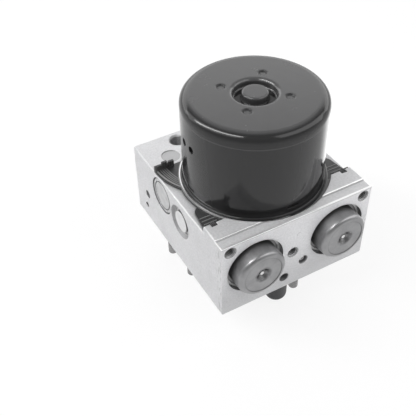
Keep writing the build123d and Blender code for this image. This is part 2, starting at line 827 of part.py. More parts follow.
def pump_cylinder():
    """The left pump cylinder, open towards the eccentric."""
    sleeve = bar_x(pump_cylinder_radius, -cylinder_end, -pump_cylinder_start, 0, pump_height)
    bore = bar_x(pump_piston_radius + running_clearance, pump_cylinder_floor - cylinder_end, 0, 0,
                 pump_height)
    return sleeve - bore - bar_x(pump_delivery_radius, -side_x, 0, 0, pump_height)


def pump_piston():
    """The left pump piston, with a domed tip that the eccentric pushes."""
    body = bar_x(pump_piston_radius, -piston_tip - pump_piston_length, -piston_tip, 0, pump_height)
    return chamfer(body.edges().sort_by(Axis.X)[-1], pump_tip_chamfer)


def pump_spring():
    """The spring behind the left pump piston."""
    low = piston_tip + pump_piston_length
    high = cylinder_end - pump_cylinder_floor
    mean = pump_piston_radius - pump_spring_wire - pump_spring_gap
    spring = coil(mean, pump_spring_wire, low, high, pump_spring_turns)
    return Pos(0, 0, pump_height) * Rot(0, -90, 0) * spring


def pump_plug():
    """The left pump plug: a turned face with a raised middle, recessed in its conical mouth."""
    face = side_x - pump_plug_recess
    plug = bar_x(pump_plug_radius, -face, -cylinder_end, 0, pump_height)
    plug += bar_x(pump_plug_boss_radius, -face - pump_plug_boss_rise, -face, 0, pump_height)
    return chamfer(plug.edges().filter_by(GeomType.CIRCLE).sort_by(Axis.X)[0], pump_plug_edge)


def damper_plug():
    """The left damper plug, with a chamfered edge and a turned groove in its face."""
    face = side_x - damper_plug_recess
    plug = bar_x(damper_radius - seat_clearance, -face, damper_plug_length - side_x, damper_y,
                 damper_height)
    plug = chamfer(plug.edges().filter_by(GeomType.CIRCLE).sort_by(Axis.X)[0], damper_plug_chamfer)
    floor = damper_groove_depth - face
    groove = bar_x(damper_groove_radius, -side_x - beyond, floor, damper_y, damper_height)
    groove -= bar_x(damper_groove_radius - damper_groove_width, -side_x - beyond, floor, damper_y,
                    damper_height)
    return plug - groove


def accumulator_cup(x):
    """A pressed cover: flange in the counterbore, rounded edge, flat face, dimple with a nub."""
    end = -cup_end
    face = end - cup_face_recess
    floor = face - cup_dimple_depth
    seat = -cup_seat
    step = seat + cup_flange_thickness
    outline = [
        (cup_radius - cup_wall, seat), (cup_flange_radius, seat), (cup_flange_radius, step),
        (cup_radius, step), (cup_radius, end), (cup_face_radius, end), (cup_face_radius, face),
        (cup_dimple_radius, face), (cup_dimple_floor, floor), (cup_nub_radius, floor),
        (cup_nub_radius, floor + cup_nub_rise), (0, floor + cup_nub_rise), (0, floor - cup_wall),
        (cup_dimple_floor + cup_wall, floor - cup_wall), (cup_dimple_radius + cup_wall, face - cup_wall),
        (cup_radius - cup_wall, face - cup_wall)]
    rounds = [(cup_radius, end, cup_edge_radius),
              (cup_radius - cup_wall, face - cup_wall, cup_edge_radius - cup_wall),
              (cup_dimple_radius, face, cup_dimple_lip),
              (cup_nub_radius, floor + cup_nub_rise, cup_nub_edge)]
    return along_front(turned(outline, rounds), x, accumulator_height)


def accumulator_retaining_rings():
    """The swaged rings that hold the cups in their counterbores."""
    low = -cup_seat + cup_flange_thickness
    high = low + retaining_ring_thickness
    ring = post(accumulator_counterbore_radius - seat_clearance, low, high)
    ring -= post(retaining_ring_inner, low - beyond, high + beyond)
    return group([along_front(ring, x, accumulator_height) for x in (-accumulator_x, accumulator_x)])


def accumulator_piston(x):
    """A light alloy piston with a seal groove and a pocket for its spring."""
    low = -accumulator_bore_end + accumulator_piston_gap
    high = low + accumulator_piston_length
    outer = accumulator_bore_radius - running_clearance
    body = post(outer, low, high)
    body -= post(accumulator_piston_pocket_radius, high - accumulator_piston_pocket_depth, high + beyond)
    middle = low + accumulator_seal_place
    groove = post(outer + beyond, middle - accumulator_seal_section, middle + accumulator_seal_section)
    groove -= post(outer - 2 * accumulator_seal_section, low, high)
    return along_front(body - groove, x, accumulator_height)


def accumulator_seal(x):
    """The O-ring in the piston's groove."""
    middle = -accumulator_bore_end + accumulator_piston_gap + accumulator_seal_place
    mean = accumulator_bore_radius - running_clearance - accumulator_seal_section
    ring = Pos(0, 0, middle) * Torus(mean, accumulator_seal_section - press_clearance)
    return along_front(ring, x, accumulator_height)


def accumulator_spring(x):
    """The coil spring between piston and cup."""
    low = (accumulator_piston_gap - accumulator_bore_end + accumulator_piston_length
           - accumulator_piston_pocket_depth)
    spring = coil(accumulator_spring_radius, accumulator_spring_wire, low, -cup_spring_seat,
                  accumulator_spring_turns)
    return along_front(spring, x, accumulator_height)


def valve_body():
    """A valve's seat and pole core, centred on the origin."""
    core_low = dome_wall - dome_length + armature_rest_gap + armature_length + valve_air_gap
    body = post(valve_flange_radius, 0, valve_flange_depth)
    body += post(valve_seat_radius, 0, valve_seat_depth)
    body += post(dome_radius - dome_wall, core_low, beyond)
    return body - post(valve_spring_radius, core_low - beyond, core_low + valve_spring_length)


def valve_dome():
    """The thin drawn sleeve that closes a valve, with a rounded tip."""
    inner = dome_radius - dome_wall
    outline = [(inner, 0), (dome_radius, 0), (dome_radius, -dome_length), (0, -dome_length),
               (0, dome_wall - dome_length), (inner, dome_wall - dome_length)]
    rounds = [(dome_radius, -dome_length, dome_tip_radius),
              (inner, dome_wall - dome_length, dome_tip_radius - dome_wall)]
    return turned(outline, rounds)


def valve_armature():
    """The steel plunger in a dome's tip, pulled up against its spring."""
    low = -dome_length + dome_wall + armature_rest_gap
    body = post(dome_radius - dome_wall - running_clearance, low, low + armature_length)
    return chamfer(body.edges().sort_by(Axis.Z)[0], dome_tip_radius - dome_wall)


def valve_spring():
    """The return spring in a pole core, drawn as a tube."""
    seat = (dome_wall - dome_length + armature_rest_gap + armature_length + valve_air_gap
            + valve_spring_length)
    low = seat - valve_spring_length - valve_air_gap + armature_stroke + armature_rest_gap
    bore = post(valve_spring_radius - valve_spring_wall, low - beyond, seat + beyond)
    return post(valve_spring_radius - running_clearance, low, seat) - bore


def at_valves(shape):
    """A copy of a shape at each valve, as one node."""
    return group([Pos(x, y, 0) * shape for x, y in valve_places])


def connector_tower():
    """The motor connector: a stem through the block and a rounded black tower below it."""
    outline = [(0, -tower_length), (tower_radius, -tower_length), (tower_radius, tower_head_depth),
               (tower_stem_radius, tower_head_depth), (tower_stem_radius, bearing_top), (0, bearing_top)]
    tower = Pos(tower_x, tower_y, 0) * turned(outline, [(tower_radius, -tower_length, tower_tip_radius)])
    for x in pin_xs():
        tower -= post(pin_radius + press_clearance, -tower_length, bearing_top + beyond, x, tower_y)
        tower -= post(pin_socket_radius, -tower_length - beyond, pin_socket_depth - tower_length, x,
                      tower_y)
    return tower


def pin_xs():
    """The X of the two contact pins."""
    return (tower_x - pin_spacing / 2, tower_x + pin_spacing / 2)


def contact_pins():
    """Two brass pins from the brush plate down into the tower's sockets."""
    low = pin_tip_gap - tower_length
    return group([post(pin_radius, low, brush_floor, x, tower_y) for x in pin_xs()])


def pressure_sensor():
    """The pressure sensor beside the connector: a body in the block and a drawn steel dome."""
    outline = [(0, -dome_length), (dome_radius, -dome_length), (dome_radius, 0), (sensor_body_radius, 0),
               (sensor_body_radius, sensor_body_depth), (0, sensor_body_depth)]
    return Pos(sensor_x, sensor_y, 0) * turned(outline, [(dome_radius, -dome_length, dome_tip_radius)])


def ball_plugs():
    """Steel balls pressed into the cross drillings."""
    radius = front_plug_radius - ball_clearance
    balls = [Pos(front_plug_x, block_front + ball_recess + radius, front_plug_z) * Sphere(radius)]
    for inset, z, hole_radius in drilling_places:
        x = side_x - drilling_ball_depth - hole_radius
        ball = Sphere(hole_radius - ball_clearance)
        balls += [Pos(side * x, block_back - inset, z) * ball for side in (-1, 1)]
    return group(balls)


def make_nodes():
    """Every node of the unit, by name."""
    nodes = {
        "valve_block": valve_block(),
        "motor_can": motor_can(),
        "motor_flange_ring": motor_flange_ring(),
        "motor_end_plate": motor_end_plate(),
        "base_frame": base_frame(),
        "motor_screws": motor_screws(),
        "field_magnets": field_magnets(),
        "upper_bush": upper_bush(),
        "brush_plate": brush_plate(),
        "brushes": brushes(),
        "brush_springs": brush_springs(),
        "lower_bearing_outer_race": race(bearing_radius - bearing_race_wall, bearing_radius),
        "lower_bearing_inner_race": race(shaft_radius, shaft_radius + bearing_race_wall),
        "lower_bearing_balls": lower_bearing_balls(),
        "motor_shaft": motor_shaft(),
        "eccentric_bearing_ring": eccentric_bearing_ring(),
        "armature_core": armature_core(),
        "armature_windings": armature_windings(),
        "commutator": commutator(),
        "accumulator_retaining_rings": accumulator_retaining_rings(),
        "valve_bodies": at_valves(valve_body()),
        "valve_domes": at_valves(valve_dome()),
        "valve_springs": at_valves(valve_spring()),
        "connector_tower": connector_tower(),
        "contact_pins": contact_pins(),
        "pressure_sensor": pressure_sensor(),
        "ball_plugs": ball_plugs(),
    }
    for name, shape in (("pump_cylinder", pump_cylinder()), ("pump_piston", pump_piston()),
                        ("pump_spring", pump_spring()), ("pump_plug", pump_plug()),
                        ("damper_plug", damper_plug())):
        nodes[name + "_left"] = shape
        nodes[name + "_right"] = mirrored(shape)
    for side, x in (("left", -accumulator_x), ("right", accumulator_x)):
        nodes["accumulator_cup_" + side] = accumulator_cup(x)
        nodes["accumulator_piston_" + side] = accumulator_piston(x)
        nodes["accumulator_seal_" + side] = accumulator_seal(x)
        nodes["accumulator_spring_" + side] = accumulator_spring(x)
    for number, (x, y) in enumerate(valve_places, 1):
        nodes[f"valve_armature_{number:02d}"] = Pos(x, y, 0) * valve_armature()
    return nodes


if __name__ == "__main__":
    os.makedirs("parts", exist_ok=True)
    for name, shape in make_nodes().items():
        export_step(shape, f"parts/{name}.step")
        print(name, round(sum(solid.volume for solid in shape.solids())))
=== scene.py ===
import json
import math

import bpy
from mathutils import Matrix, Vector


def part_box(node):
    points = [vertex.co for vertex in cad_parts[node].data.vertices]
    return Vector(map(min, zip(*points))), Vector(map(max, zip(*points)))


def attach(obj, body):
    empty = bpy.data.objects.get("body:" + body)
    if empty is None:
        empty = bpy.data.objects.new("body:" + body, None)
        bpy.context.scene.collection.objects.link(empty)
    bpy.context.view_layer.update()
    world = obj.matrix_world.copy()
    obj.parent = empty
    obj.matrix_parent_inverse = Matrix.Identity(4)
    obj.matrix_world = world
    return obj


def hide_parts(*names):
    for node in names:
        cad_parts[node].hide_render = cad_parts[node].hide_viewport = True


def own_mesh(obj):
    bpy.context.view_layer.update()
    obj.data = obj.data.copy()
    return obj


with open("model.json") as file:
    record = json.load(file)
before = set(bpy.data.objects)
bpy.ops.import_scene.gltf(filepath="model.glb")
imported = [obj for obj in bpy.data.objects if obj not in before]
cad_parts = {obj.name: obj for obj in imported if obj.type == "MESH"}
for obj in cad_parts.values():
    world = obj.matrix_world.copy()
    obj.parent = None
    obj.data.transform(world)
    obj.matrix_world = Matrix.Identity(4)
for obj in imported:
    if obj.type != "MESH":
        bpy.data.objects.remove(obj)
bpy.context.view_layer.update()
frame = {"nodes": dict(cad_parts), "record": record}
nodes = frame["nodes"]
mm = 0.001
print("frame loaded:", len(nodes), "nodes")


# The camera, solved from the photograph's edges. Millimetres and degrees.
photoCamera = {
    "place": (-189.77, -287.03, 344.10),
    "yaw": 28.60,
    "pitch": 43.01,
    "roll": -1.41,
    "lens": 60.23,
    "sensor": 36.0,
}


def addCamera(values):
    yaw = math.radians(values["yaw"])
    pitch = math.radians(values["pitch"])
    roll = math.radians(values["roll"])
    look = Vector((math.sin(yaw) * math.cos(pitch), math.cos(yaw) * math.cos(pitch), -math.sin(pitch)))
    side = Vector((math.cos(yaw), -math.sin(yaw), 0))
    up = side.cross(look)
    rolledSide = math.cos(roll) * side + math.sin(roll) * up
    rolledUp = math.cos(roll) * up - math.sin(roll) * side
    data = bpy.data.cameras.new("photoCamera")
    data.lens = values["lens"]
    data.sensor_width = values["sensor"]
    camera = bpy.data.objects.new("photoCamera", data)
    turn = Matrix((rolledSide, rolledUp, -look)).transposed().to_4x4()
    camera.matrix_world = Matrix.Translation(Vector(values["place"]) * mm) @ turn
    bpy.context.scene.collection.objects.link(camera)
    bpy.context.scene.camera = camera


# Small makers of nodes: each takes numbers or other nodes' outputs.
def connect(tree, socket, value):
    if hasattr(value, "is_output"):
        tree.links.new(value, socket)
    else:
        socket.default_value = value


def mathNode(tree, operation, *values):
    node = tree.nodes.new("ShaderNodeMath")
    node.operation = operation
    for socket, value in zip(node.inputs, values):
        connect(tree, socket, value)
    return node.outputs[0]


def vectorNode(tree, operation, *values):
    node = tree.nodes.new("ShaderNodeVectorMath")
    node.operation = operation
    for socket, value in zip(node.inputs, values):
        connect(tree, socket, value)
    return node.outputs["Value"] if operation in ("DOT_PRODUCT", "LENGTH") else node.outputs[0]


def scaled(tree, vector, factor):
    node = tree.nodes.new("ShaderNodeVectorMath")
    node.operation = "SCALE"
    connect(tree, node.inputs[0], vector)
    connect(tree, node.inputs["Scale"], factor)
    return node.outputs[0]


def remap(tree, value, fromLow, fromHigh, toLow, toHigh):
    node = tree.nodes.new("ShaderNodeMapRange")
    for socket, number in zip(node.inputs[0:5], (value, fromLow, fromHigh, toLow, toHigh)):
        connect(tree, socket, number)
    return node.outputs[0]


def rise(tree, value, low, high):          # 0 up to low, 1 from high on
    return remap(tree, value, low, high, 0.0, 1.0)


def fall(tree, value, low, high):          # 1 up to low, 0 from high on
    return remap(tree, value, low, high, 1.0, 0.0)


def mixValue(tree, share, first, second):
    return remap(tree, share, 0.0, 1.0, first, second)


def mixColour(tree, factor, first, second):
    node = tree.nodes.new("ShaderNodeMix")
    node.data_type = "RGBA"
    for socket, value in zip((node.inputs[0], node.inputs[6], node.inputs[7]), (factor, first, second)):
        connect(tree, socket, value)
    return node.outputs[2]


def fold(tree, operation, values):
    result = values[0]
    for value in values[1:]:
        result = mathNode(tree, operation, result, value)
    return result


def allOf(tree, *masks):
    return fold(tree, "MULTIPLY", masks)


def anyOf(tree, *masks):
    return fold(tree, "MAXIMUM", masks)


def inverse(tree, mask):
    return mathNode(tree, "SUBTRACT", 1.0, mask)


def band(tree, value, low, high, soft):          # 1 from low to high, fading to 0 over soft
    return allOf(tree, rise(tree, value, low - soft, low), fall(tree, value, high, high + soft))


def wave(tree, value, pitch=1.0, operation="SINE"):
    return mathNode(tree, operation, mathNode(tree, "MULTIPLY", value, 2 * math.pi / pitch))


def noise(tree, vector, scale, detail=3.0, roughness=0.55):
    node = tree.nodes.new("ShaderNodeTexNoise")
    node.inputs["Detail"].default_value = detail
    node.inputs["Roughness"].default_value = roughness
    connect(tree, node.inputs["Vector"], vector)
    connect(tree, node.inputs["Scale"], scale)
    return node.outputs[0]


def objectPlace(tree):
    return tree.nodes.new("ShaderNodeTexCoord").outputs["Object"]


def splitVector(tree, vector):
    node = tree.nodes.new("ShaderNodeSeparateXYZ")
    tree.links.new(vector, node.inputs[0])
    return node.outputs


def placeInMm(tree):          # the three coordinates of a point, in millimetres
    return splitVector(tree, scaled(tree, objectPlace(tree), 1 / mm))


def faceNormal(tree):
    return splitVector(tree, tree.nodes.new("ShaderNodeNewGeometry").outputs["Normal"])


def reachFrom(tree, first, second, centre):          # how far two coordinates are from a centre
    parts = [mathNode(tree, "SUBTRACT", *pair) for pair in zip((first, second), centre)]
    squares = [mathNode(tree, "MULTIPLY", part, part) for part in parts]
    return mathNode(tree, "SQRT", mathNode(tree, "ADD", *squares))


def newMaterial(name):
    material = bpy.data.materials.new(name)
    material.use_nodes = True
    tree = material.node_tree
    tree.nodes.clear()
    output = tree.nodes.new("ShaderNodeOutputMaterial")
    output.name = "output"
    shader = tree.nodes.new("ShaderNodeBsdfPrincipled")
    tree.links.new(shader.outputs["BSDF"], output.inputs["Surface"])
    return material, tree, shader


def newGroup(name, inputs, outputs):
    group = bpy.data.node_groups.new(name, "ShaderNodeTree")
    for socketName, value in inputs.items():
        kind = "NodeSocketVector" if isinstance(value, tuple) else "NodeSocketFloat"
        socket = group.interface.new_socket(name=socketName, in_out="INPUT", socket_type=kind)
        socket.default_value = value
    for socketName in outputs:
        kind = "NodeSocketVector" if socketName == "Normal" else "NodeSocketFloat"
        group.interface.new_socket(name=socketName, in_out="OUTPUT", socket_type=kind)
    return group, group.nodes.new("NodeGroupInput").outputs, group.nodes.new("NodeGroupOutput").inputs


def placeGroup(tree, group, values):
    node = tree.nodes.new("ShaderNodeGroup")
    node.node_tree = group
    for name, value in values.items():
        connect(tree, node.inputs[name], value)
    return node.outputs


def addBump(tree, shader, height, depth, normal=None):
    bump = tree.nodes.new("ShaderNodeBump")
    bump.inputs["Distance"].default_value = depth
    connect(tree, bump.inputs["Height"], height)
    if normal is not None:
        tree.links.new(normal, bump.inputs["Normal"])
    tree.links.new(bump.outputs[0], shader.inputs["Normal"])


# Shared effects, each built once. Four numbers together are a remap: from, to, and what they become.
effects = {
    "edgeSamples": 6,
    "edgeTurn": (0.01, 0.12),               # how far the rounded normal leaves the flat one, at 0 and at 1
    "edgePatches": 900.0,
    "edgePatchy": (0.35, 0.6, 0.35, 1.0),
    "grainDetail": 4.0,
    "grainRange": (0.3, 0.7),
    "latheWander": (60.0, 2.0),             # scale of the noise, and how many turns it shifts the marks
    "millWander": (90.0, 1.5),
    "millPatches": 40.0,
    "millPatchy": (0.35, 0.65, 0.2, 1.0),
    "millSquare": 0.7,                      # from here on a face counts as looking along X or Z
    "cavitySamples": 8,
    "cavityOpen": (0.35, 0.92),             # how open a point is where the shade is full, and where it ends
}


def makeBrokenEdge(values):          # a small radius on sharp edges, and where they are rubbed bright
    group, given, gives = newGroup("brokenEdge", {"Radius": 0.0, "Wear": 0.0}, ("Normal", "Edge"))
    bevel = group.nodes.new("ShaderNodeBevel")
    bevel.samples = values["edgeSamples"]
    group.links.new(given["Radius"], bevel.inputs["Radius"])
    flat = group.nodes.new("ShaderNodeNewGeometry").outputs["Normal"]
    turn = inverse(group, vectorNode(group, "DOT_PRODUCT", bevel.outputs[0], flat))
    patchy = remap(group, noise(group, objectPlace(group), values["edgePatches"]), *values["edgePatchy"])
    group.links.new(bevel.outputs[0], gives["Normal"])
    group.links.new(allOf(group, rise(group, turn, *values["edgeTurn"]), patchy, given["Wear"]),
                    gives["Edge"])
    return group


def makeGrain(values):          # fine mottling, drawn out along one direction if Stretch says so
    group, given, gives = newGroup(
        "fineGrain", {"Scale": 0.0, "Stretch": (1, 1, 1), "Low": 0.0, "High": 1.0}, ("Value", "Height"))
    place = vectorNode(group, "MULTIPLY", objectPlace(group), given["Stretch"])
    grain = noise(group, place, given["Scale"], detail=values["grainDetail"])
    group.links.new(remap(group, grain, *values["grainRange"], given["Low"], given["High"]), gives["Value"])
    group.links.new(grain, gives["Height"])
    return group


def wander(tree, steps, scale, turns):          # noise on a count of steps, so that marks run unevenly
    return mathNode(tree, "MULTIPLY_ADD", noise(tree, objectPlace(tree), scale), turns, steps)


def makeLatheRings(values):          # turning marks round an axis
    group, given, gives = newGroup(
        "latheRings", {"Centre": (0, 0, 0), "Axis": (0, 0, 0), "Feed": 0.0}, ("Height",))
    arm = vectorNode(group, "SUBTRACT", objectPlace(group), given["Centre"])
    along = vectorNode(group, "PROJECT", arm, given["Axis"])
    radius = vectorNode(group, "LENGTH", vectorNode(group, "SUBTRACT", arm, along))
    turns = mathNode(group, "DIVIDE", radius, given["Feed"])
    ridge = wave(group, wander(group, turns, *values["latheWander"]))
    group.links.new(rise(group, ridge, -1.0, 1.0), gives["Height"])
    return group


def makeMillSweeps(values):          # the arcs that a face mill leaves, on whichever face the surface is
    group, given, gives = newGroup("millSweeps", {"Cutter": 0.0, "Feed": 0.0}, ("Height",))
    place = splitVector(group, objectPlace(group))
    normal = group.nodes.new("ShaderNodeNewGeometry").outputs["True Normal"]
    facing = splitVector(group, vectorNode(group, "ABSOLUTE", normal))
    flat = mathNode(group, "GREATER_THAN", facing[2], values["millSquare"])
    side = mathNode(group, "GREATER_THAN", facing[0], values["millSquare"])
    across = mixValue(group, side, place[0], place[1])
    other = mixValue(group, flat, place[2], place[1])
    square = mathNode(group, "MULTIPLY", given["Cutter"], given["Cutter"])
    drop = mathNode(group, "MULTIPLY", other, other)
    bow = mathNode(group, "SQRT", mathNode(group, "MAXIMUM", mathNode(group, "SUBTRACT", square, drop), 0.0))
    steps = mathNode(group, "DIVIDE", mathNode(group, "ADD", across, bow), given["Feed"])
    ridge = wave(group, wander(group, steps, *values["millWander"]))
    faint = remap(group, noise(group, objectPlace(group), values["millPatches"]), *values["millPatchy"])
    group.links.new(mathNode(group, "MULTIPLY", ridge, faint), gives["Height"])
    return group


def makeCavity(values):          # how deep a point sits in a corner or a hole, where painted shade goes
    group, given, gives = newGroup("cavity", {"Reach": 0.0}, ("Dark",))
    hollow = group.nodes.new("ShaderNodeAmbientOcclusion")
    hollow.samples = values["cavitySamples"]
    group.links.new(given["Reach"], hollow.inputs["Distance"])
    group.links.new(fall(group, hollow.outputs["AO"], *values["cavityOpen"]), gives["Dark"])
    return group


brokenEdge = makeBrokenEdge(effects)
cavity = makeCavity(effects)
fineGrain = makeGrain(effects)
latheRings = makeLatheRings(effects)
millSweeps = makeMillSweeps(effects)
print("shared effects built")


def roughGrain(tree, scale, rough, stretch=(1, 1, 1)):          # grain whose value is a roughness
    return placeGroup(tree, fineGrain, {"Scale": scale, "Stretch": stretch, "Low": rough[0],
                                        "High": rough[1]})


def mottling(tree, scale, stretch=(1, 1, 1)):
    return placeGroup(tree, fineGrain, {"Scale": scale, "Stretch": stretch})["Value"]


# The studio: a white floor, long strip boxes that draw the lines on the can, and a grey ceiling.
# Millimetres. A strip runs from one direction to another, each as degrees round from +Y and degrees
# up, and its width is in degrees as seen from the aim.
studio = {
    "floorLevel": -26.0,
    "floorSize": 6000.0,
    "floorColour": (0.86, 0.86, 0.865, 1),
    "floorRough": 0.9,
    "floorGlow": 0.85,                      # how much of the floor is pure white to the camera
    "floorCard": {"x": (120, 420), "y": (20, 420), "soft": 60.0, "glow": 2.4},          # seen by mirrors
    "ambient": 0.20,                        # what diffuse surfaces get from the room
    "horizon": 1.0,
    "ceiling": 0.45,
    "fade": (0.03, 0.30),                   # the sine of the heights between which white turns grey
    "aim": (0, 0, 90),
    "reach": 1300.0,
    "strips": {
        "leftStrip": {"start": (-50, 28), "end": (-124, 61), "width": 9.0, "radiance": 11.5},
        "leftHalo": {"start": (-36, 12), "end": (-118, 56), "width": 28.0, "radiance": 1.6},
        "rightStrip": {"start": (172, 50), "end": (98, 16), "width": 28.0, "radiance": 1.9},
        "frontFill": {"start": (130, 20), "end": (182, 20), "width": 32.0, "radiance": 1.7, "soft": True},
        "backWall": {"start": (28, 9), "end": (28, 38), "width": 124.0, "radiance": 1.7},
        "backCard": {"start": (33, 38), "end": (33, 80), "width": 44.0, "radiance": 0.6},
    },
}


def skyDirection(around, up):
    around, up = math.radians(around), math.radians(up)
    return Vector((math.sin(around) * math.cos(up), math.cos(around) * math.cos(up), math.sin(up)))


def addStrip(name, values, aim, reach):
    start = Vector(aim) + reach * skyDirection(*values["start"])
    end = Vector(aim) + reach * skyDirection(*values["end"])
    middle = (start + end) / 2
    along = (end - start).normalized()
    back = middle - Vector(aim)
    distance = back.length
    back = (back - back.dot(along) * along).normalized()
    data = bpy.data.lights.new(name, "AREA")
    data.shape = "RECTANGLE"
    data.size = (end - start).length * mm
    data.size_y = 2 * distance * math.tan(math.radians(values["width"]) / 2) * mm
    data.energy = values["radiance"] * math.pi * data.size * data.size_y
    lamp = bpy.data.objects.new(name, data)
    turn = Matrix((along, back.cross(along), back)).transposed().to_4x4()
    lamp.matrix_world = Matrix.Translation(middle * mm) @ turn
    lamp.visible_camera = False
    lamp.visible_glossy = not values.get("soft", False)          # a soft one leaves no mirror image
    bpy.context.scene.collection.objects.link(lamp)


def seenByGloss(tree):          # the camera, mirrors and glass all see the same background
    path = tree.nodes.new("ShaderNodeLightPath")
    seen = mathNode(tree, "MAXIMUM", path.outputs["Is Camera Ray"], path.outputs["Is Glossy Ray"])
    return mathNode(tree, "MAXIMUM", seen, path.outputs["Is Transmission Ray"])


def addWorld(values):
    world = bpy.data.worlds.new("studioRoom")
    bpy.context.scene.world = world
    world.use_nodes = True
    tree = world.node_tree
    tree.nodes.clear()
    output = tree.nodes.new("ShaderNodeOutputWorld")
    light = tree.nodes.new("ShaderNodeBackground")
    height = tree.nodes.new("ShaderNodeSeparateXYZ")
    tree.links.new(tree.nodes.new("ShaderNodeTexCoord").outputs["Generated"], height.inputs[0])
    low, high = values["fade"]
    wall = remap(tree, height.outputs[2], low, high, values["horizon"], values["ceiling"])
    strength = mixValue(tree, seenByGloss(tree), values["ambient"], wall)
    tree.links.new(strength, light.inputs["Strength"])
    tree.links.new(light.outputs[0], output.inputs["Surface"])


def addFloor(values):
    half = values["floorSize"] * mm / 2
    level = values["floorLevel"] * mm
    mesh = bpy.data.meshes.new("studioFloor")
    corners = [(-half, -half, level), (half, -half, level), (half, half, level), (-half, half, level)]
    mesh.from_pydata(corners, [], [(0, 1, 2, 3)])
    floor = bpy.data.objects.new("studioFloor", mesh)
    bpy.context.scene.collection.objects.link(floor)
    material, tree, shader = newMaterial("floorPaper")
    shader.inputs["Base Color"].default_value = values["floorColour"]
    shader.inputs["Roughness"].default_value = values["floorRough"]
    shader.inputs["Specular IOR Level"].default_value = 0.0
    glow = tree.nodes.new("ShaderNodeEmission")
    place = placeInMm(tree)
    card = values["floorCard"]
    patch = allOf(tree, band(tree, place[0], *card["x"], card["soft"]),
                  band(tree, place[1], *card["y"], card["soft"]),
                  tree.nodes.new("ShaderNodeLightPath").outputs["Is Glossy Ray"])
    tree.links.new(mixValue(tree, patch, 1.0, card["glow"]), glow.inputs["Strength"])
    mixer = tree.nodes.new("ShaderNodeMixShader")
    tree.links.new(mathNode(tree, "MULTIPLY", seenByGloss(tree), values["floorGlow"]), mixer.inputs[0])
    tree.links.new(shader.outputs[0], mixer.inputs[1])
    tree.links.new(glow.outputs[0], mixer.inputs[2])
    tree.links.new(mixer.outputs[0], tree.nodes["output"].inputs["Surface"])
    mesh.materials.append(material)


# Bare metals: how bright at the darkest and lightest, how rough, the grain, and a tint if there is one.
metals = {
    "stainless": {"dark": 0.20, "light": 0.29, "rough": (0.18, 0.32), "grain": 900.0, "depth": 4e-6},
    "plain_steel": {"dark": 0.36, "light": 0.48, "rough": (0.28, 0.42), "grain": 600.0, "depth": 5e-6},
    "plug_aluminium": {"dark": 0.62, "light": 0.72, "rough": (0.26, 0.40), "grain": 600.0, "depth": 5e-6},
    "hard_steel": {"dark": 0.55, "light": 0.66, "rough": (0.10, 0.18), "grain": 900.0, "depth": 2e-6},
    "copper": {"tint": (0.80, 0.42, 0.26), "dark": 0.75, "light": 0.95, "rough": (0.25, 0.4),
               "grain": 500.0, "depth": 8e-6},
    "bronze": {"tint": (0.70, 0.52, 0.30), "dark": 0.7, "light": 0.9, "rough": (0.4, 0.55),
               "grain": 1500.0, "depth": 8e-6},
    "pin_brass": {"tint": (0.85, 0.72, 0.42), "dark": 0.8, "light": 0.95, "rough": (0.2, 0.3),
                  "grain": 900.0, "depth": 3e-6},
    "laminations": {"dark": 0.18, "light": 0.26, "rough": (0.4, 0.55), "grain": 400.0, "depth": 1e-5,
                    "stretch": (1, 1, 12)},
}

# Moulded and pressed materials that aren't metal.
plains = {
    "tower_plastic": {"dark": (0.040, 0.040, 0.042, 1), "light": (0.055, 0.055, 0.057, 1),
                      "rough": (0.45, 0.6), "grain": 1400.0, "depth": 2e-5},
    "brush_plastic": {"dark": (0.16, 0.10, 0.06, 1), "light": (0.22, 0.14, 0.08, 1),
                      "rough": (0.45, 0.6), "grain": 1100.0, "depth": 2e-5},
    "carbon": {"dark": (0.03, 0.03, 0.03, 1), "light": (0.05, 0.05, 0.05, 1),
               "rough": (0.4, 0.55), "grain": 2000.0, "depth": 2e-5},
    "ferrite": {"dark": (0.05, 0.05, 0.05, 1), "light": (0.08, 0.08, 0.08, 1),
                "rough": (0.5, 0.65), "grain": 900.0, "depth": 2e-5},
    "seal_rubber": {"dark": (0.012, 0.012, 0.012, 1), "light": (0.02, 0.02, 0.02, 1),
                    "rough": (0.55, 0.7), "grain": 900.0, "depth": 1e-5},
}

# What all metals have and what all plain materials have: how far edges are rubbed and how much lighter
# they are there, and how coarse the colour's mottling is beside the grain.
metalKind = {"metallic": 1.0, "wear": 0.5, "lighter": 1.25, "mottle": 0.15}
plainKind = {"metallic": 0.0, "wear": 0.3, "lighter": 1.8, "mottle": 0.08}
sharpEdge = 0.0003                          # metres: the radius of an edge that was only deburred


def slotFinish(name, values, dark, light, kind):
    material, tree, shader = newMaterial(name)
    stretch = values.get("stretch", (1, 1, 1))
    edge = placeGroup(tree, brokenEdge, {"Radius": sharpEdge, "Wear": kind["wear"]})
    grain = roughGrain(tree, values["grain"], values["rough"], stretch)
    body = mixColour(tree, mottling(tree, values["grain"] * kind["mottle"], stretch), dark, light)
    bright = tuple(min(1.0, part * kind["lighter"]) for part in light[:3]) + (1,)
    tree.links.new(mixColour(tree, edge["Edge"], body, bright), shader.inputs["Base Color"])
    tree.links.new(grain["Value"], shader.inputs["Roughness"])
    shader.inputs["Metallic"].default_value = kind["metallic"]
    addBump(tree, shader, grain["Height"], values["depth"], edge["Normal"])
    return material


def metalFinish(name, values):
    tint = values.get("tint", (1, 1, 1))
    dark, light = [tuple(values[level] * part for part in tint) + (1,) for level in ("dark", "light")]
    return slotFinish(name, values, dark, light, metalKind)


def plainFinish(name, values):
    return slotFinish(name, values, values["dark"], values["light"], plainKind)


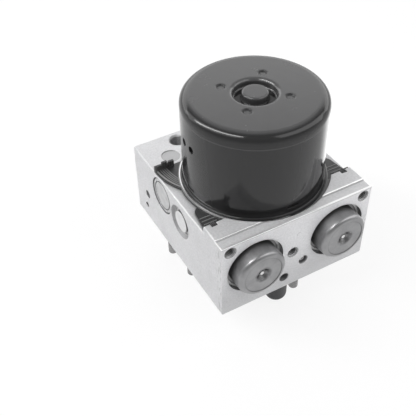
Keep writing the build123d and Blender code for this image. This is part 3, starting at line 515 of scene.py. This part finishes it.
# The block: extruded aluminium with dull milled faces, crossed by faint cutter arcs.
# Places are in millimetres, its other lengths in metres. A pair called facing or slant says between
# which values of the normal's part a mask fades.
blockFinish = {
    "dark": (0.56, 0.56, 0.57, 1),
    "light": (0.625, 0.625, 0.636, 1),
    # White on rubbed edges and in the bright boxes: wear, and painted highlight lines.
    "edge": (1.0, 1.0, 1.0, 1),
    "shade": (0.10, 0.10, 0.102, 1),        # painted shade in corners, holes and gaps
    "dull": (0.40, 0.40, 0.405, 1),
    "metallic": (0.3, 0.95),                # plain faces, rubbed edges
    "rough": (0.40, 0.56),
    "edgeRough": 0.28,
    "edgeRadius": 0.0007,
    "edgeWear": 0.5,
    "cavityReach": 0.006,
    "cavityShare": 0.85,
    "cutter": 0.09,
    "feed": 0.0009,
    "sweepShade": 0.03,
    "sweepDepth": 0.5,                      # beside the grain's depth
    "speckle": (800.0, 0.09),               # scale, and how far it goes up and down
    "depth": 6e-6,
    "grain": 1100.0,
    "stain": 45.0,
    "frontFade": (10.0, 44.0, 0.92, 1.26),  # painted light: from this height to that, the front goes from dark to light
    "fadeFacing": (-0.9, -0.6),
    "frontFacing": (-0.7, -0.4),
    "spotFace": {"centre": (37.0, 43.1), "radius": (6.2, 6.5), "floor": (53.1, 53.5), "soft": 0.1,
                 "facing": (0.5, 0.8), "share": 0.85},
    # Boxes of |X|, Y and Z, and how strongly each is painted bright (worn edges with a painted highlight) or
    # in painted shade.
    "burnished": [((-1, 54.2), (-44.95, -43.95), (58.5, 58.8), 0.8),
                  ((-1, 54.2), (-52.6, -51.5), (57.75, 58.4), 0.75),
                  ((53.2, 54.2), (-52.6, -44.9), (57.9, 58.4), 0.8),
                  ((53.3, 54.2), (-31.0, 6.0), (53.2, 53.85), 0.15)],
    "shaded": [((-1, 54.2), (-44.99, -44.8), (58.1, 58.65), 0.85),
               ((-1, 53.4), (-45.9, -44.9), (58.1, 58.3), 0.4),
               ((-1, 54.2), (-52.6, -52.4), (56.9, 57.6), 0.22),
               ((53.9, 54.2), (-31.0, 22.0), (52.7, 52.9), 0.35)],
    "boxSoft": (0.1, 0.1, 0.05),
    "scratches": {"face": -53.9, "along": (-52.3, -49.8), "soft": 5.0, "stretch": (1.0, 1.0, 0.22),
                  "scale": 900.0, "detail": 2.0, "specks": (0.56, 0.64, 0.0, 0.9)},
    "scar": {"centre": (0.9, 43.2), "ring": (1.25, 1.6), "soft": 0.2, "fade": 1.0, "share": 0.5},
    # Painted shade in the pump bores' conical mouths.
    "pumpMouth": {"centre": (0.0, 36.8), "ring": (9.4, 11.6), "soft": 0.4, "slant": (0.93, 0.99),
                  "beyond": 50.0, "share": 0.56},
    # Painted shade as dark outlines round the small holes in the front: X and Z, radius of the mouth's edge,
    # and share.
    "outlines": [((-2.8, 29.3), 4.0, 0.7), ((5.9, 17.9), 3.3, 0.75), ((-48.0, 52.8), 4.0, 0.75),
                 ((48.0, 52.8), 4.0, 0.75), ((-8.2, 9.1), 3.4, 0.75)],
    "outline": {"width": 0.35, "soft": 0.25},
    "holeWall": {"share": 0.6, "back": -45.0, "soft": 0.2},          # painted shade on the holes' walls; back: how far in (Y) it goes
}


def boxMasks(tree, boxes, softs):          # the strongest of the shares of the boxes that a point is in
    place = placeInMm(tree)
    measured = (mathNode(tree, "ABSOLUTE", place[0]), place[1], place[2])
    inside = []
    for *spans, share in boxes:
        sides = [band(tree, value, *span, soft) for value, span, soft in zip(measured, spans, softs)]
        inside.append(allOf(tree, *sides, share))
    return anyOf(tree, *inside)


def blockMarks(tree, values):          # spot faces, scratches beside the front edge, and a scar
    place = placeInMm(tree)
    facing = faceNormal(tree)
    spot = values["spotFace"]
    radius = reachFrom(tree, mathNode(tree, "ABSOLUTE", place[0]), place[1], spot["centre"])
    spots = allOf(tree, fall(tree, radius, *spot["radius"]),
                  band(tree, place[2], *spot["floor"], spot["soft"]),
                  remap(tree, facing[2], *spot["facing"], 0.0, spot["share"]))
    marks = values["scratches"]
    streak = vectorNode(tree, "MULTIPLY", objectPlace(tree), marks["stretch"])
    specks = noise(tree, streak, marks["scale"], detail=marks["detail"])
    scratches = allOf(tree, mathNode(tree, "LESS_THAN", place[0], marks["face"]),
                      band(tree, place[1], *marks["along"], marks["soft"]),
                      remap(tree, specks, *marks["specks"]))
    scar = values["scar"]
    across, height = scar["centre"]
    start = height - across          # only the upper left half of its ring shows
    slope = mathNode(tree, "SUBTRACT", place[2], place[0])
    nick = allOf(tree, band(tree, reachFrom(tree, place[0], place[2], scar["centre"]), *scar["ring"],
                            scar["soft"]),
                 remap(tree, slope, start, start + scar["fade"], 0.0, scar["share"]),
                 fall(tree, facing[1], *values["frontFacing"]))
    return anyOf(tree, spots, scratches, nick)


def mouthShade(tree, values):          # painted shade in the pump bores' conical mouths, round the front holes' mouths and on their walls
    place = placeInMm(tree)
    facing = faceNormal(tree)
    mouth = values["pumpMouth"]
    radius = reachFrom(tree, place[1], place[2], mouth["centre"])
    shade = allOf(tree, band(tree, radius, *mouth["ring"], mouth["soft"]),
                  fall(tree, mathNode(tree, "ABSOLUTE", facing[0]), *mouth["slant"]),
                  mathNode(tree, "GREATER_THAN", mathNode(tree, "ABSOLUTE", place[0]), mouth["beyond"]),
                  mouth["share"])
    front = fall(tree, facing[1], *values["frontFacing"])
    outline, hole = values["outline"], values["holeWall"]
    ahead = mathNode(tree, "LESS_THAN", place[1], hole["back"])
    for centre, edge, share in values["outlines"]:
        reach = reachFrom(tree, place[0], place[2], centre)
        ring = allOf(tree, band(tree, reach, edge - outline["width"], edge, outline["soft"]), front, share)
        wall = allOf(tree, fall(tree, reach, edge, edge + hole["soft"]), inverse(tree, front), ahead,
                     hole["share"])
        shade = anyOf(tree, shade, ring, wall)
    return shade


def makeBlockAluminium(name, values):
    material, tree, shader = newMaterial(name)
    edge = placeGroup(tree, brokenEdge, {"Radius": values["edgeRadius"], "Wear": 1.0})
    hollow = placeGroup(tree, cavity, {"Reach": values["cavityReach"]})
    scale, swing = values["speckle"]
    speckle = placeGroup(tree, fineGrain, {"Scale": scale, "Low": 1.0 - swing, "High": 1.0 + swing})
    grain = roughGrain(tree, values["grain"], values["rough"])
    sweeps = placeGroup(tree, millSweeps, {"Cutter": values["cutter"], "Feed": values["feed"]})
    body = mixColour(tree, mottling(tree, values["stain"]), values["dark"], values["light"])
    lit = mathNode(tree, "MULTIPLY_ADD", sweeps["Height"], values["sweepShade"], speckle["Value"])
    # Painted light: the front face lighter towards its top.
    fade = remap(tree, placeInMm(tree)[2], *values["frontFade"])
    front = fall(tree, faceNormal(tree)[1], *values["fadeFacing"])
    body = scaled(tree, body, mathNode(tree, "MULTIPLY", lit, mixValue(tree, front, 1.0, fade)))
    body = mixColour(tree, blockMarks(tree, values), body, values["dull"])
    # Painted shade: in hollows, in the pump bores' mouths, round and in the front holes, and in the shaded
    # boxes.
    deep = anyOf(tree, mathNode(tree, "MULTIPLY", hollow["Dark"], values["cavityShare"]),
                 mouthShade(tree, values), boxMasks(tree, values["shaded"], values["boxSoft"]))
    body = mixColour(tree, deep, body, values["shade"])
    # Edges rubbed bright, with painted highlight lines on them and in the bright boxes.
    rubbed = anyOf(tree, mathNode(tree, "MULTIPLY", edge["Edge"], values["edgeWear"]),
                   boxMasks(tree, values["burnished"], values["boxSoft"]))
    tree.links.new(mixColour(tree, rubbed, body, values["edge"]), shader.inputs["Base Color"])
    tree.links.new(mixValue(tree, rubbed, grain["Value"], values["edgeRough"]), shader.inputs["Roughness"])
    tree.links.new(mixValue(tree, rubbed, *values["metallic"]), shader.inputs["Metallic"])
    height = mathNode(tree, "MULTIPLY_ADD", sweeps["Height"], values["sweepDepth"], grain["Height"])
    addBump(tree, shader, height, values["depth"], edge["Normal"])
    return material


# The can: stoved gloss black with a little orange peel, and a duller, handled top. Radii and drops
# below the crown in millimetres.
canFinish = {
    "side": (0.020, 0.020, 0.0205, 1),
    # Inside the recess: the walls painted lighter, as painted light, and the floor darker, as painted shade.
    "insideWall": (0.055, 0.055, 0.056, 1),
    "insideFloor": (0.014, 0.014, 0.0142, 1),
    "drawLine": (0.050, 0.050, 0.051, 1),
    "drawLineDrop": (8.6, 8.8),
    "drawLineSoft": 0.5,
    "top": (0.044, 0.044, 0.045, 1),
    "topWorn": (0.050, 0.050, 0.051, 1),
    "topDrop": (0.6, 2.2),                  # all of the top's finish down to here, none of it from there
    "topFacing": (0.86, 0.985),
    "specular": (0.4, 1.0),                 # outside, and in the recess
    "floorSpecular": 0.3,                   # the share of it that the recess's floor keeps
    "sideRough": (0.10, 0.14),
    "insideRough": 0.10,
    "topRough": (0.24, 0.28),
    "peel": 260.0,
    "peelDepth": 3.5e-6,
    "scuff": 70.0,
    "scratchFeed": 0.0011,
    "scratchDepth": 0.25,                   # beside the peel's depth
    "edgeRadius": (0.0020, 0.0006),         # metres: round the recess and dimples, and outside
    "pressed": (25.0, 27.0),                # where one gives way to the other
    "recess": (15.2, 15.6),                 # where the recess ends
    "recessFloor": (8.4, 12.4),
    "floorSoft": 0.5,
    "floorFacing": (0.35, 0.8),
}


def makeBlackPaint(name, values):
    material, tree, shader = newMaterial(name)
    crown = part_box(name)[1][2] / mm
    place = placeInMm(tree)
    radius = reachFrom(tree, place[0], place[1], (0.0, 0.0))
    within = fall(tree, radius, *values["recess"])
    rounding = remap(tree, radius, *values["pressed"], *values["edgeRadius"])
    edge = placeGroup(tree, brokenEdge, {"Radius": rounding, "Wear": 0.0})
    facing = splitVector(tree, edge["Normal"])
    floor = allOf(tree, band(tree, radius, *values["recessFloor"], values["floorSoft"]),
                  rise(tree, facing[2], *values["floorFacing"]))
    topEnd, topStart = values["topDrop"]
    flat = allOf(tree, rise(tree, place[2], crown - topStart, crown - topEnd),
                 rise(tree, facing[2], *values["topFacing"]), inverse(tree, floor))
    peel = roughGrain(tree, values["peel"], values["sideRough"])
    scuff = mottling(tree, values["scuff"])
    rings = placeGroup(tree, latheRings, {"Centre": (0, 0, 0), "Axis": (0, 0, 1),
                                          "Feed": values["scratchFeed"]})
    dull = mixColour(tree, scuff, values["top"], values["topWorn"])
    # Painted light on the recess's walls, painted shade on its floor.
    inside = mixColour(tree, floor, values["insideWall"], values["insideFloor"])
    gloss = mixColour(tree, within, values["side"], inside)
    lineTop, lineFoot = values["drawLineDrop"]
    line = band(tree, place[2], crown - lineFoot, crown - lineTop, values["drawLineSoft"])
    gloss = mixColour(tree, line, gloss, values["drawLine"])
    tree.links.new(mixColour(tree, flat, gloss, dull), shader.inputs["Base Color"])
    outside, pit = values["specular"]
    dulled = mathNode(tree, "MULTIPLY_ADD", anyOf(tree, flat, floor), outside - pit, pit)
    specular = allOf(tree, mixValue(tree, within, outside, dulled),
                     mixValue(tree, floor, 1.0, values["floorSpecular"]))
    tree.links.new(specular, shader.inputs["Specular IOR Level"])
    sideRough = mixValue(tree, within, peel["Value"], values["insideRough"])
    topRough = mixValue(tree, scuff, *values["topRough"])
    tree.links.new(mixValue(tree, flat, sideRough, topRough), shader.inputs["Roughness"])
    fine = allOf(tree, rings["Height"], flat, values["scratchDepth"])
    addBump(tree, shader, mathNode(tree, "ADD", peel["Height"], fine), values["peelDepth"], edge["Normal"])
    return material


# The accumulators' drawn cups: a rough side, a brighter shoulder, a face with a painted line of shade round
# it, and a dimple in clouded painted shade with a painted highlight on its nub. Radii in millimetres,
# measured from the cup's own axis.
cupFinish = {
    "dark": (0.27, 0.27, 0.275, 1),
    "light": (0.34, 0.34, 0.345, 1),
    # Painted shade in the dimple, and a painted highlight on its nub.
    "pit": (0.13, 0.13, 0.132, 1),
    "nub": (0.75, 0.75, 0.75, 1),
    # Painted shade: the dark line round the face, and the hollows.
    "line": (0.10, 0.10, 0.10, 1),
    "sideRough": 0.56,
    "shoulderRough": 0.36,
    "faceRough": 0.38,
    "roughSwing": (-0.05, 0.05),
    "faceFacing": (0.90, 0.98),
    "shoulderFacing": (0.15, 0.35),
    "lineRing": (12.65, 13.15),
    "lineSoft": 0.2,
    "lineShare": 0.25,
    "pitRing": (3.4, 5.0),
    "pitSoft": 1.4,
    "cloud": 260.0,
    "cloudy": (0.35, 0.65, 0.25, 1.0),
    "nubRadius": (1.2, 1.7),
    "edgeWear": 0.4,
    "cavityReach": 0.004,
    "cavityShare": 0.6,
    "grain": 700.0,
    "mottle": 140.0,
    "feed": 0.0007,
    "ringDepth": 0.5,                       # beside the grain's depth
    "depth": 6e-6,
}


def makeCupSteel(name, values):
    material, tree, shader = newMaterial(name)
    low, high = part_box(name)
    centre = (low + high) / 2
    place = placeInMm(tree)
    radius = reachFrom(tree, place[0], place[2], (centre[0] / mm, centre[2] / mm))
    frontness = mathNode(tree, "MULTIPLY", faceNormal(tree)[1], -1.0)
    face = rise(tree, frontness, *values["faceFacing"])
    shoulder = rise(tree, frontness, *values["shoulderFacing"])
    edge = placeGroup(tree, brokenEdge, {"Radius": sharpEdge, "Wear": values["edgeWear"]})
    hollow = placeGroup(tree, cavity, {"Reach": values["cavityReach"]})
    grain = placeGroup(tree, fineGrain, {"Scale": values["grain"]})
    rings = placeGroup(tree, latheRings, {"Centre": tuple(centre), "Axis": (0, 1, 0), "Feed": values["feed"]})
    body = mixColour(tree, mottling(tree, values["mottle"]), values["dark"], values["light"])
    # A painted line of shade round the face.
    line = allOf(tree, band(tree, radius, *values["lineRing"], values["lineSoft"]), shoulder,
                 values["lineShare"])
    body = mixColour(tree, line, body, values["line"])
    # Painted shade clouded round the dimple, and a painted highlight on its nub.
    cloud = remap(tree, noise(tree, objectPlace(tree), values["cloud"]), *values["cloudy"])
    pit = allOf(tree, band(tree, radius, *values["pitRing"], values["pitSoft"]), cloud, shoulder)
    body = mixColour(tree, pit, body, values["pit"])
    body = mixColour(tree, fall(tree, radius, *values["nubRadius"]), body, values["nub"])
    # Painted shade in the hollows.
    deep = mathNode(tree, "MULTIPLY", hollow["Dark"], values["cavityShare"])
    tree.links.new(mixColour(tree, deep, body, values["line"]), shader.inputs["Base Color"])
    rough = mixValue(tree, shoulder, values["sideRough"], values["shoulderRough"])
    rough = mixValue(tree, face, rough, values["faceRough"])
    rough = mathNode(tree, "ADD", rough, mixValue(tree, grain["Value"], *values["roughSwing"]))
    tree.links.new(rough, shader.inputs["Roughness"])
    shader.inputs["Metallic"].default_value = 1.0
    height = mathNode(tree, "MULTIPLY_ADD", rings["Height"], values["ringDepth"], grain["Height"])
    addBump(tree, shader, height, values["depth"], edge["Normal"])
    return material


# The turned plugs in the block's sides: a bright face, with painted shade on its sides and in its groove.
plugFinish = {
    "dark": (0.60, 0.60, 0.605, 1),
    "light": (0.70, 0.70, 0.705, 1),
    "shade": (0.06, 0.06, 0.061, 1),
    "sideFacing": (0.5, 0.75),
    "sideShade": 0.85,
    "cavityReach": 0.0025,
    "cavityShare": 0.8,
    "edgeWear": 0.6,
    "rough": (0.36, 0.48),
    "metallic": 0.35,
    "grain": 700.0,
    "mottle": 210.0,
    "feed": 0.0004,
    "ringDepth": 1.5,                       # beside the grain's depth
    "depth": 6e-6,
}
damperFinish = dict(plugFinish, dark=(0.40, 0.40, 0.405, 1), light=(0.54, 0.54, 0.545, 1))


def makePlugAluminium(name, values):
    material, tree, shader = newMaterial(name)
    low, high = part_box(name)
    centre = tuple((low + high) / 2)
    facing = mathNode(tree, "ABSOLUTE", faceNormal(tree)[0])
    sides = remap(tree, facing, *values["sideFacing"], values["sideShade"], 0.0)
    edge = placeGroup(tree, brokenEdge, {"Radius": sharpEdge, "Wear": values["edgeWear"]})
    hollow = placeGroup(tree, cavity, {"Reach": values["cavityReach"]})
    grain = roughGrain(tree, values["grain"], values["rough"])
    rings = placeGroup(tree, latheRings, {"Centre": centre, "Axis": (1, 0, 0), "Feed": values["feed"]})
    body = mixColour(tree, mottling(tree, values["mottle"]), values["dark"], values["light"])
    # Painted shade on the sides and in the hollows.
    shade = anyOf(tree, sides, mathNode(tree, "MULTIPLY", hollow["Dark"], values["cavityShare"]))
    tree.links.new(mixColour(tree, shade, body, values["shade"]), shader.inputs["Base Color"])
    tree.links.new(grain["Value"], shader.inputs["Roughness"])
    shader.inputs["Metallic"].default_value = values["metallic"]
    height = mathNode(tree, "MULTIPLY_ADD", rings["Height"], values["ringDepth"], grain["Height"])
    addBump(tree, shader, height, values["depth"], edge["Normal"])
    return material


# The flange ring at the can's foot: bare bright metal on the left, black as painted shade further right.
ringFinish = {
    "bright": (0.78, 0.78, 0.79, 1),
    # Black: painted shade on the ring's right part.
    "painted": (0.03, 0.03, 0.031, 1),
    "overspray": (-12.0, 2.0),              # from this X to this X the painted shade takes over, in millimetres
    "patches": 60.0,
    "patchy": (0.3, 0.7, -0.2, 0.2),
    "cover": (0.3, 0.7),
    "rough": 0.30,                          # both bare and black
    "grain": 200.0,
    "depth": 1e-6,
}


def makeFlangeRing(name, values):
    material, tree, shader = newMaterial(name)
    patches = noise(tree, objectPlace(tree), values["patches"], detail=1.0)
    cover = mathNode(tree, "ADD", rise(tree, placeInMm(tree)[0], *values["overspray"]),
                     remap(tree, patches, *values["patchy"]))
    cover = rise(tree, cover, *values["cover"])
    grain = placeGroup(tree, fineGrain, {"Scale": values["grain"]})
    tree.links.new(mixColour(tree, cover, values["bright"], values["painted"]), shader.inputs["Base Color"])
    tree.links.new(inverse(tree, cover), shader.inputs["Metallic"])
    shader.inputs["Roughness"].default_value = values["rough"]
    addBump(tree, shader, grain["Height"], values["depth"])
    return material


# The base frame: matt black moulding with painted highlights on its ridges, rims and ribs, and painted light
# on its front wall. Heights in millimetres.
frameFinish = {
    "dark": (0.020, 0.020, 0.021, 1),
    "light": (0.036, 0.036, 0.037, 1),
    "crest": (0.22, 0.22, 0.22, 1),         # painted highlight on the ridges and rims, and on the front wall's ribs
    "upright": (0.10, 0.10, 0.10, 1),       # painted light on the front wall
    # Edges rubbed pale, with a painted highlight on them.
    "rubbed": (0.22, 0.22, 0.22, 1),
    "ridgeTop": (55.0, 55.2),
    "rimTop": (55.5, 55.7),
    "topSoft": 0.05,
    "topFacing": (0.5, 0.8),
    "uprightFacing": (-0.8, -0.6),
    "stripe": 0.9,                          # from rib to rib
    "striped": (-0.2, 0.6, 0.0, 0.8),
    "edgeWear": 0.9,
    "rough": (0.30, 0.45),
    "grain": 1400.0,
    "mottle": 560.0,
    "depth": 2e-5,
}


def makeFramePlastic(name, values):
    material, tree, shader = newMaterial(name)
    place = placeInMm(tree)
    facing = faceNormal(tree)
    edge = placeGroup(tree, brokenEdge, {"Radius": sharpEdge, "Wear": values["edgeWear"]})
    grain = roughGrain(tree, values["grain"], values["rough"])
    body = mixColour(tree, mottling(tree, values["mottle"]), values["dark"], values["light"])
    # Painted highlights on the ridge and rim tops and the front wall's ribs, painted light on the front wall.
    tops = [band(tree, place[2], *values[top], values["topSoft"]) for top in ("ridgeTop", "rimTop")]
    crests = allOf(tree, anyOf(tree, *tops), rise(tree, facing[2], *values["topFacing"]))
    body = mixColour(tree, crests, body, values["crest"])
    upright = fall(tree, facing[1], *values["uprightFacing"])
    body = mixColour(tree, upright, body, values["upright"])
    stripes = remap(tree, wave(tree, place[0], values["stripe"]), *values["striped"])
    body = mixColour(tree, allOf(tree, stripes, upright), body, values["crest"])
    tree.links.new(mixColour(tree, edge["Edge"], body, values["rubbed"]), shader.inputs["Base Color"])
    tree.links.new(grain["Value"], shader.inputs["Roughness"])
    addBump(tree, shader, grain["Height"], values["depth"], edge["Normal"])
    return material


# The balls pressed into the drillings are dull, and the front one has light and dark rings round its axis in
# its colour.
ballFinish = {
    "dark": (0.24, 0.24, 0.242, 1),
    "light": (0.62, 0.62, 0.625, 1),
    "lightShare": 0.5,                      # on the other balls
    "rough": (0.42, 0.55),
    "metallic": 0.6,
    "grain": 700.0,
    "depth": 5e-6,
    "front": (5.9, 17.9),                   # X and Z of the front ball's axis, in millimetres
    "frontFacing": (-0.5, -0.2),
    "ringPitch": 1.35,
    "ringed": (-0.4, 0.5),
}


def makeBallSteel(name, values):
    material, tree, shader = newMaterial(name)
    place = placeInMm(tree)
    grain = roughGrain(tree, values["grain"], values["rough"])
    radius = reachFrom(tree, place[0], place[2], values["front"])
    rings = rise(tree, wave(tree, radius, values["ringPitch"], "COSINE"), *values["ringed"])
    front = fall(tree, faceNormal(tree)[1], *values["frontFacing"])
    share = mixValue(tree, front, values["lightShare"], rings)
    tree.links.new(mixColour(tree, share, values["dark"], values["light"]), shader.inputs["Base Color"])
    tree.links.new(grain["Value"], shader.inputs["Roughness"])
    shader.inputs["Metallic"].default_value = values["metallic"]
    addBump(tree, shader, grain["Height"], values["depth"])
    return material


# The rings swaged round the cups are dull aluminium.
swagedFinish = {"dark": 0.50, "light": 0.64, "rough": (0.36, 0.48), "grain": 700.0, "depth": 8e-6}


# Nodes with a finish of their own; all others take their slot's.
ownFinishes = {
    "valve_block": (makeBlockAluminium, blockFinish),
    "motor_can": (makeBlackPaint, canFinish),
    "accumulator_cup_left": (makeCupSteel, cupFinish),
    "accumulator_cup_right": (makeCupSteel, cupFinish),
    "pump_plug_left": (makePlugAluminium, plugFinish),
    "pump_plug_right": (makePlugAluminium, plugFinish),
    "damper_plug_left": (makePlugAluminium, damperFinish),
    "damper_plug_right": (makePlugAluminium, damperFinish),
    "accumulator_retaining_rings": (metalFinish, swagedFinish),
    "motor_flange_ring": (makeFlangeRing, ringFinish),
    "ball_plugs": (makeBallSteel, ballFinish),
    "base_frame": (makeFramePlastic, frameFinish),
}


def finishNode(name, slotName, made):
    if name in ownFinishes:
        maker, values = ownFinishes[name]
        made[name] = maker(name, values)
        return made[name]
    if slotName not in made:
        if slotName in metals:
            made[slotName] = metalFinish(slotName, metals[slotName])
        else:
            made[slotName] = plainFinish(slotName, plains[slotName])
    return made[slotName]


def finishCadNodes():
    made = {}
    for part in frame["record"]["subparts"]:
        name, slotName = part["node"], part["material_slot"]
        mesh = nodes[name].data
        material = finishNode(name, slotName, made)
        if not mesh.materials:
            mesh.materials.append(material)
        for index in range(len(mesh.materials)):
            mesh.materials[index] = material
    return made


# Threads: a ridge wound inside each tapped hole. Millimetres: the hole's radius as its bore, how deep
# the thread goes, where the mouth is, and which way out.
mounting = {"out": (0, -1, 0), "bore": 3.4, "pitch": 1.25, "deep": 9.5}
port = {"out": (0, 0, 1), "bore": 5.5, "pitch": 1.0, "deep": 11.0}
threads = {
    "mountingThreadLeft": dict(mounting, mouth=(-48, -52.0, 52.8)),
    "mountingThreadRight": dict(mounting, mouth=(48, -52.0, 52.8)),
    "mountingThreadCentre": dict(mounting, mouth=(-2.8, -52.0, 29.3), deep=7.0),
    "deckThread1": dict(port, mouth=(-25.0, 56.5, 53.0)),
    "deckThread2": dict(port, mouth=(-8.4, 56.5, 53.0)),
    "deckThread3": dict(port, mouth=(8.4, 56.5, 53.0)),
    "deckThread4": dict(port, mouth=(25.0, 56.5, 53.0)),
    "rearThreadLeft": dict(port, mouth=(-20.0, 64.3, 22.0), out=(0, 1, 0)),
    "rearThreadRight": dict(port, mouth=(20.0, 64.3, 22.0), out=(0, 1, 0)),
}
threadShape = {"height": 0.36, "sunk": 0.05, "halfWidth": 0.42, "steps": 48}          # width in pitches


def addThread(name, values, shape, material):
    out = Vector(values["out"])
    side = out.orthogonal().normalized()
    other = out.cross(side)
    root = values["bore"] + shape["sunk"]
    crest = values["bore"] - shape["height"]
    half = values["pitch"] * shape["halfWidth"]
    count = int(values["deep"] / values["pitch"] * shape["steps"])
    verts, faces = [], []
    for step in range(count + 1):
        angle = 2 * math.pi * step / shape["steps"]
        drop = values["pitch"] * step / shape["steps"] + half
        spoke = math.cos(angle) * side + math.sin(angle) * other
        for radius, shift in ((root, -half), (crest, 0.0), (root, half)):
            place = Vector(values["mouth"]) - out * (drop + shift) + spoke * radius
            verts.append(place * mm)
    for step in range(count):
        low, high = 3 * step, 3 * (step + 1)
        for corner in range(3):
            following = (corner + 1) % 3
            faces.append((low + corner, low + following, high + following, high + corner))
    faces.append((2, 1, 0))
    faces.append((3 * count, 3 * count + 1, 3 * count + 2))
    mesh = bpy.data.meshes.new(name)
    mesh.from_pydata(verts, [], faces)
    mesh.materials.append(material)
    piece = bpy.data.objects.new(name, mesh)
    bpy.context.scene.collection.objects.link(piece)
    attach(piece, "housing")


# The coil springs behind the pistons, copied onto the housing in place of their nodes. Metres: the fixed end,
# and the joint's travel.
accumulatorCoil = {"axis": (0, 1, 0), "fixed": (0, -0.0601, 0), "travel": 0.010}
pumpCoil = {"axis": (1, 0, 0), "travel": 0.002}
springs = {
    "accumulatorCoilLeft": dict(accumulatorCoil, node="accumulator_spring_left",
                                joint="accumulator_stroke_left"),
    "accumulatorCoilRight": dict(accumulatorCoil, node="accumulator_spring_right",
                                 joint="accumulator_stroke_right"),
    "pumpCoilLeft": dict(pumpCoil, node="pump_spring_left", joint="pump_stroke_left",
                         fixed=(-0.0365, 0, 0)),
    "pumpCoilRight": dict(pumpCoil, node="pump_spring_right", joint="pump_stroke_right",
                          fixed=(0.0365, 0, 0)),
}


def addSpring(name, values):
    piece = bpy.data.objects.new(name, nodes[values["node"]].data.copy())
    bpy.context.scene.collection.objects.link(piece)
    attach(piece, "housing")
    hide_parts(values["node"])
    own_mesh(piece)


addCamera(photoCamera)
addWorld(studio)
addFloor(studio)
for stripName, stripValues in studio["strips"].items():
    addStrip(stripName, stripValues, studio["aim"], studio["reach"])
print("studio ready")

finishes = finishCadNodes()
print("finishes on the carried-over nodes:", len(finishes))

for threadName, threadValues in threads.items():
    addThread(threadName, threadValues, threadShape, finishes["valve_block"])
print("threads cut:", len(threads))
for springName, springValues in springs.items():
    addSpring(springName, springValues)
print("springs that close up:", len(springs))

bpy.context.scene.view_settings.view_transform = "Standard"
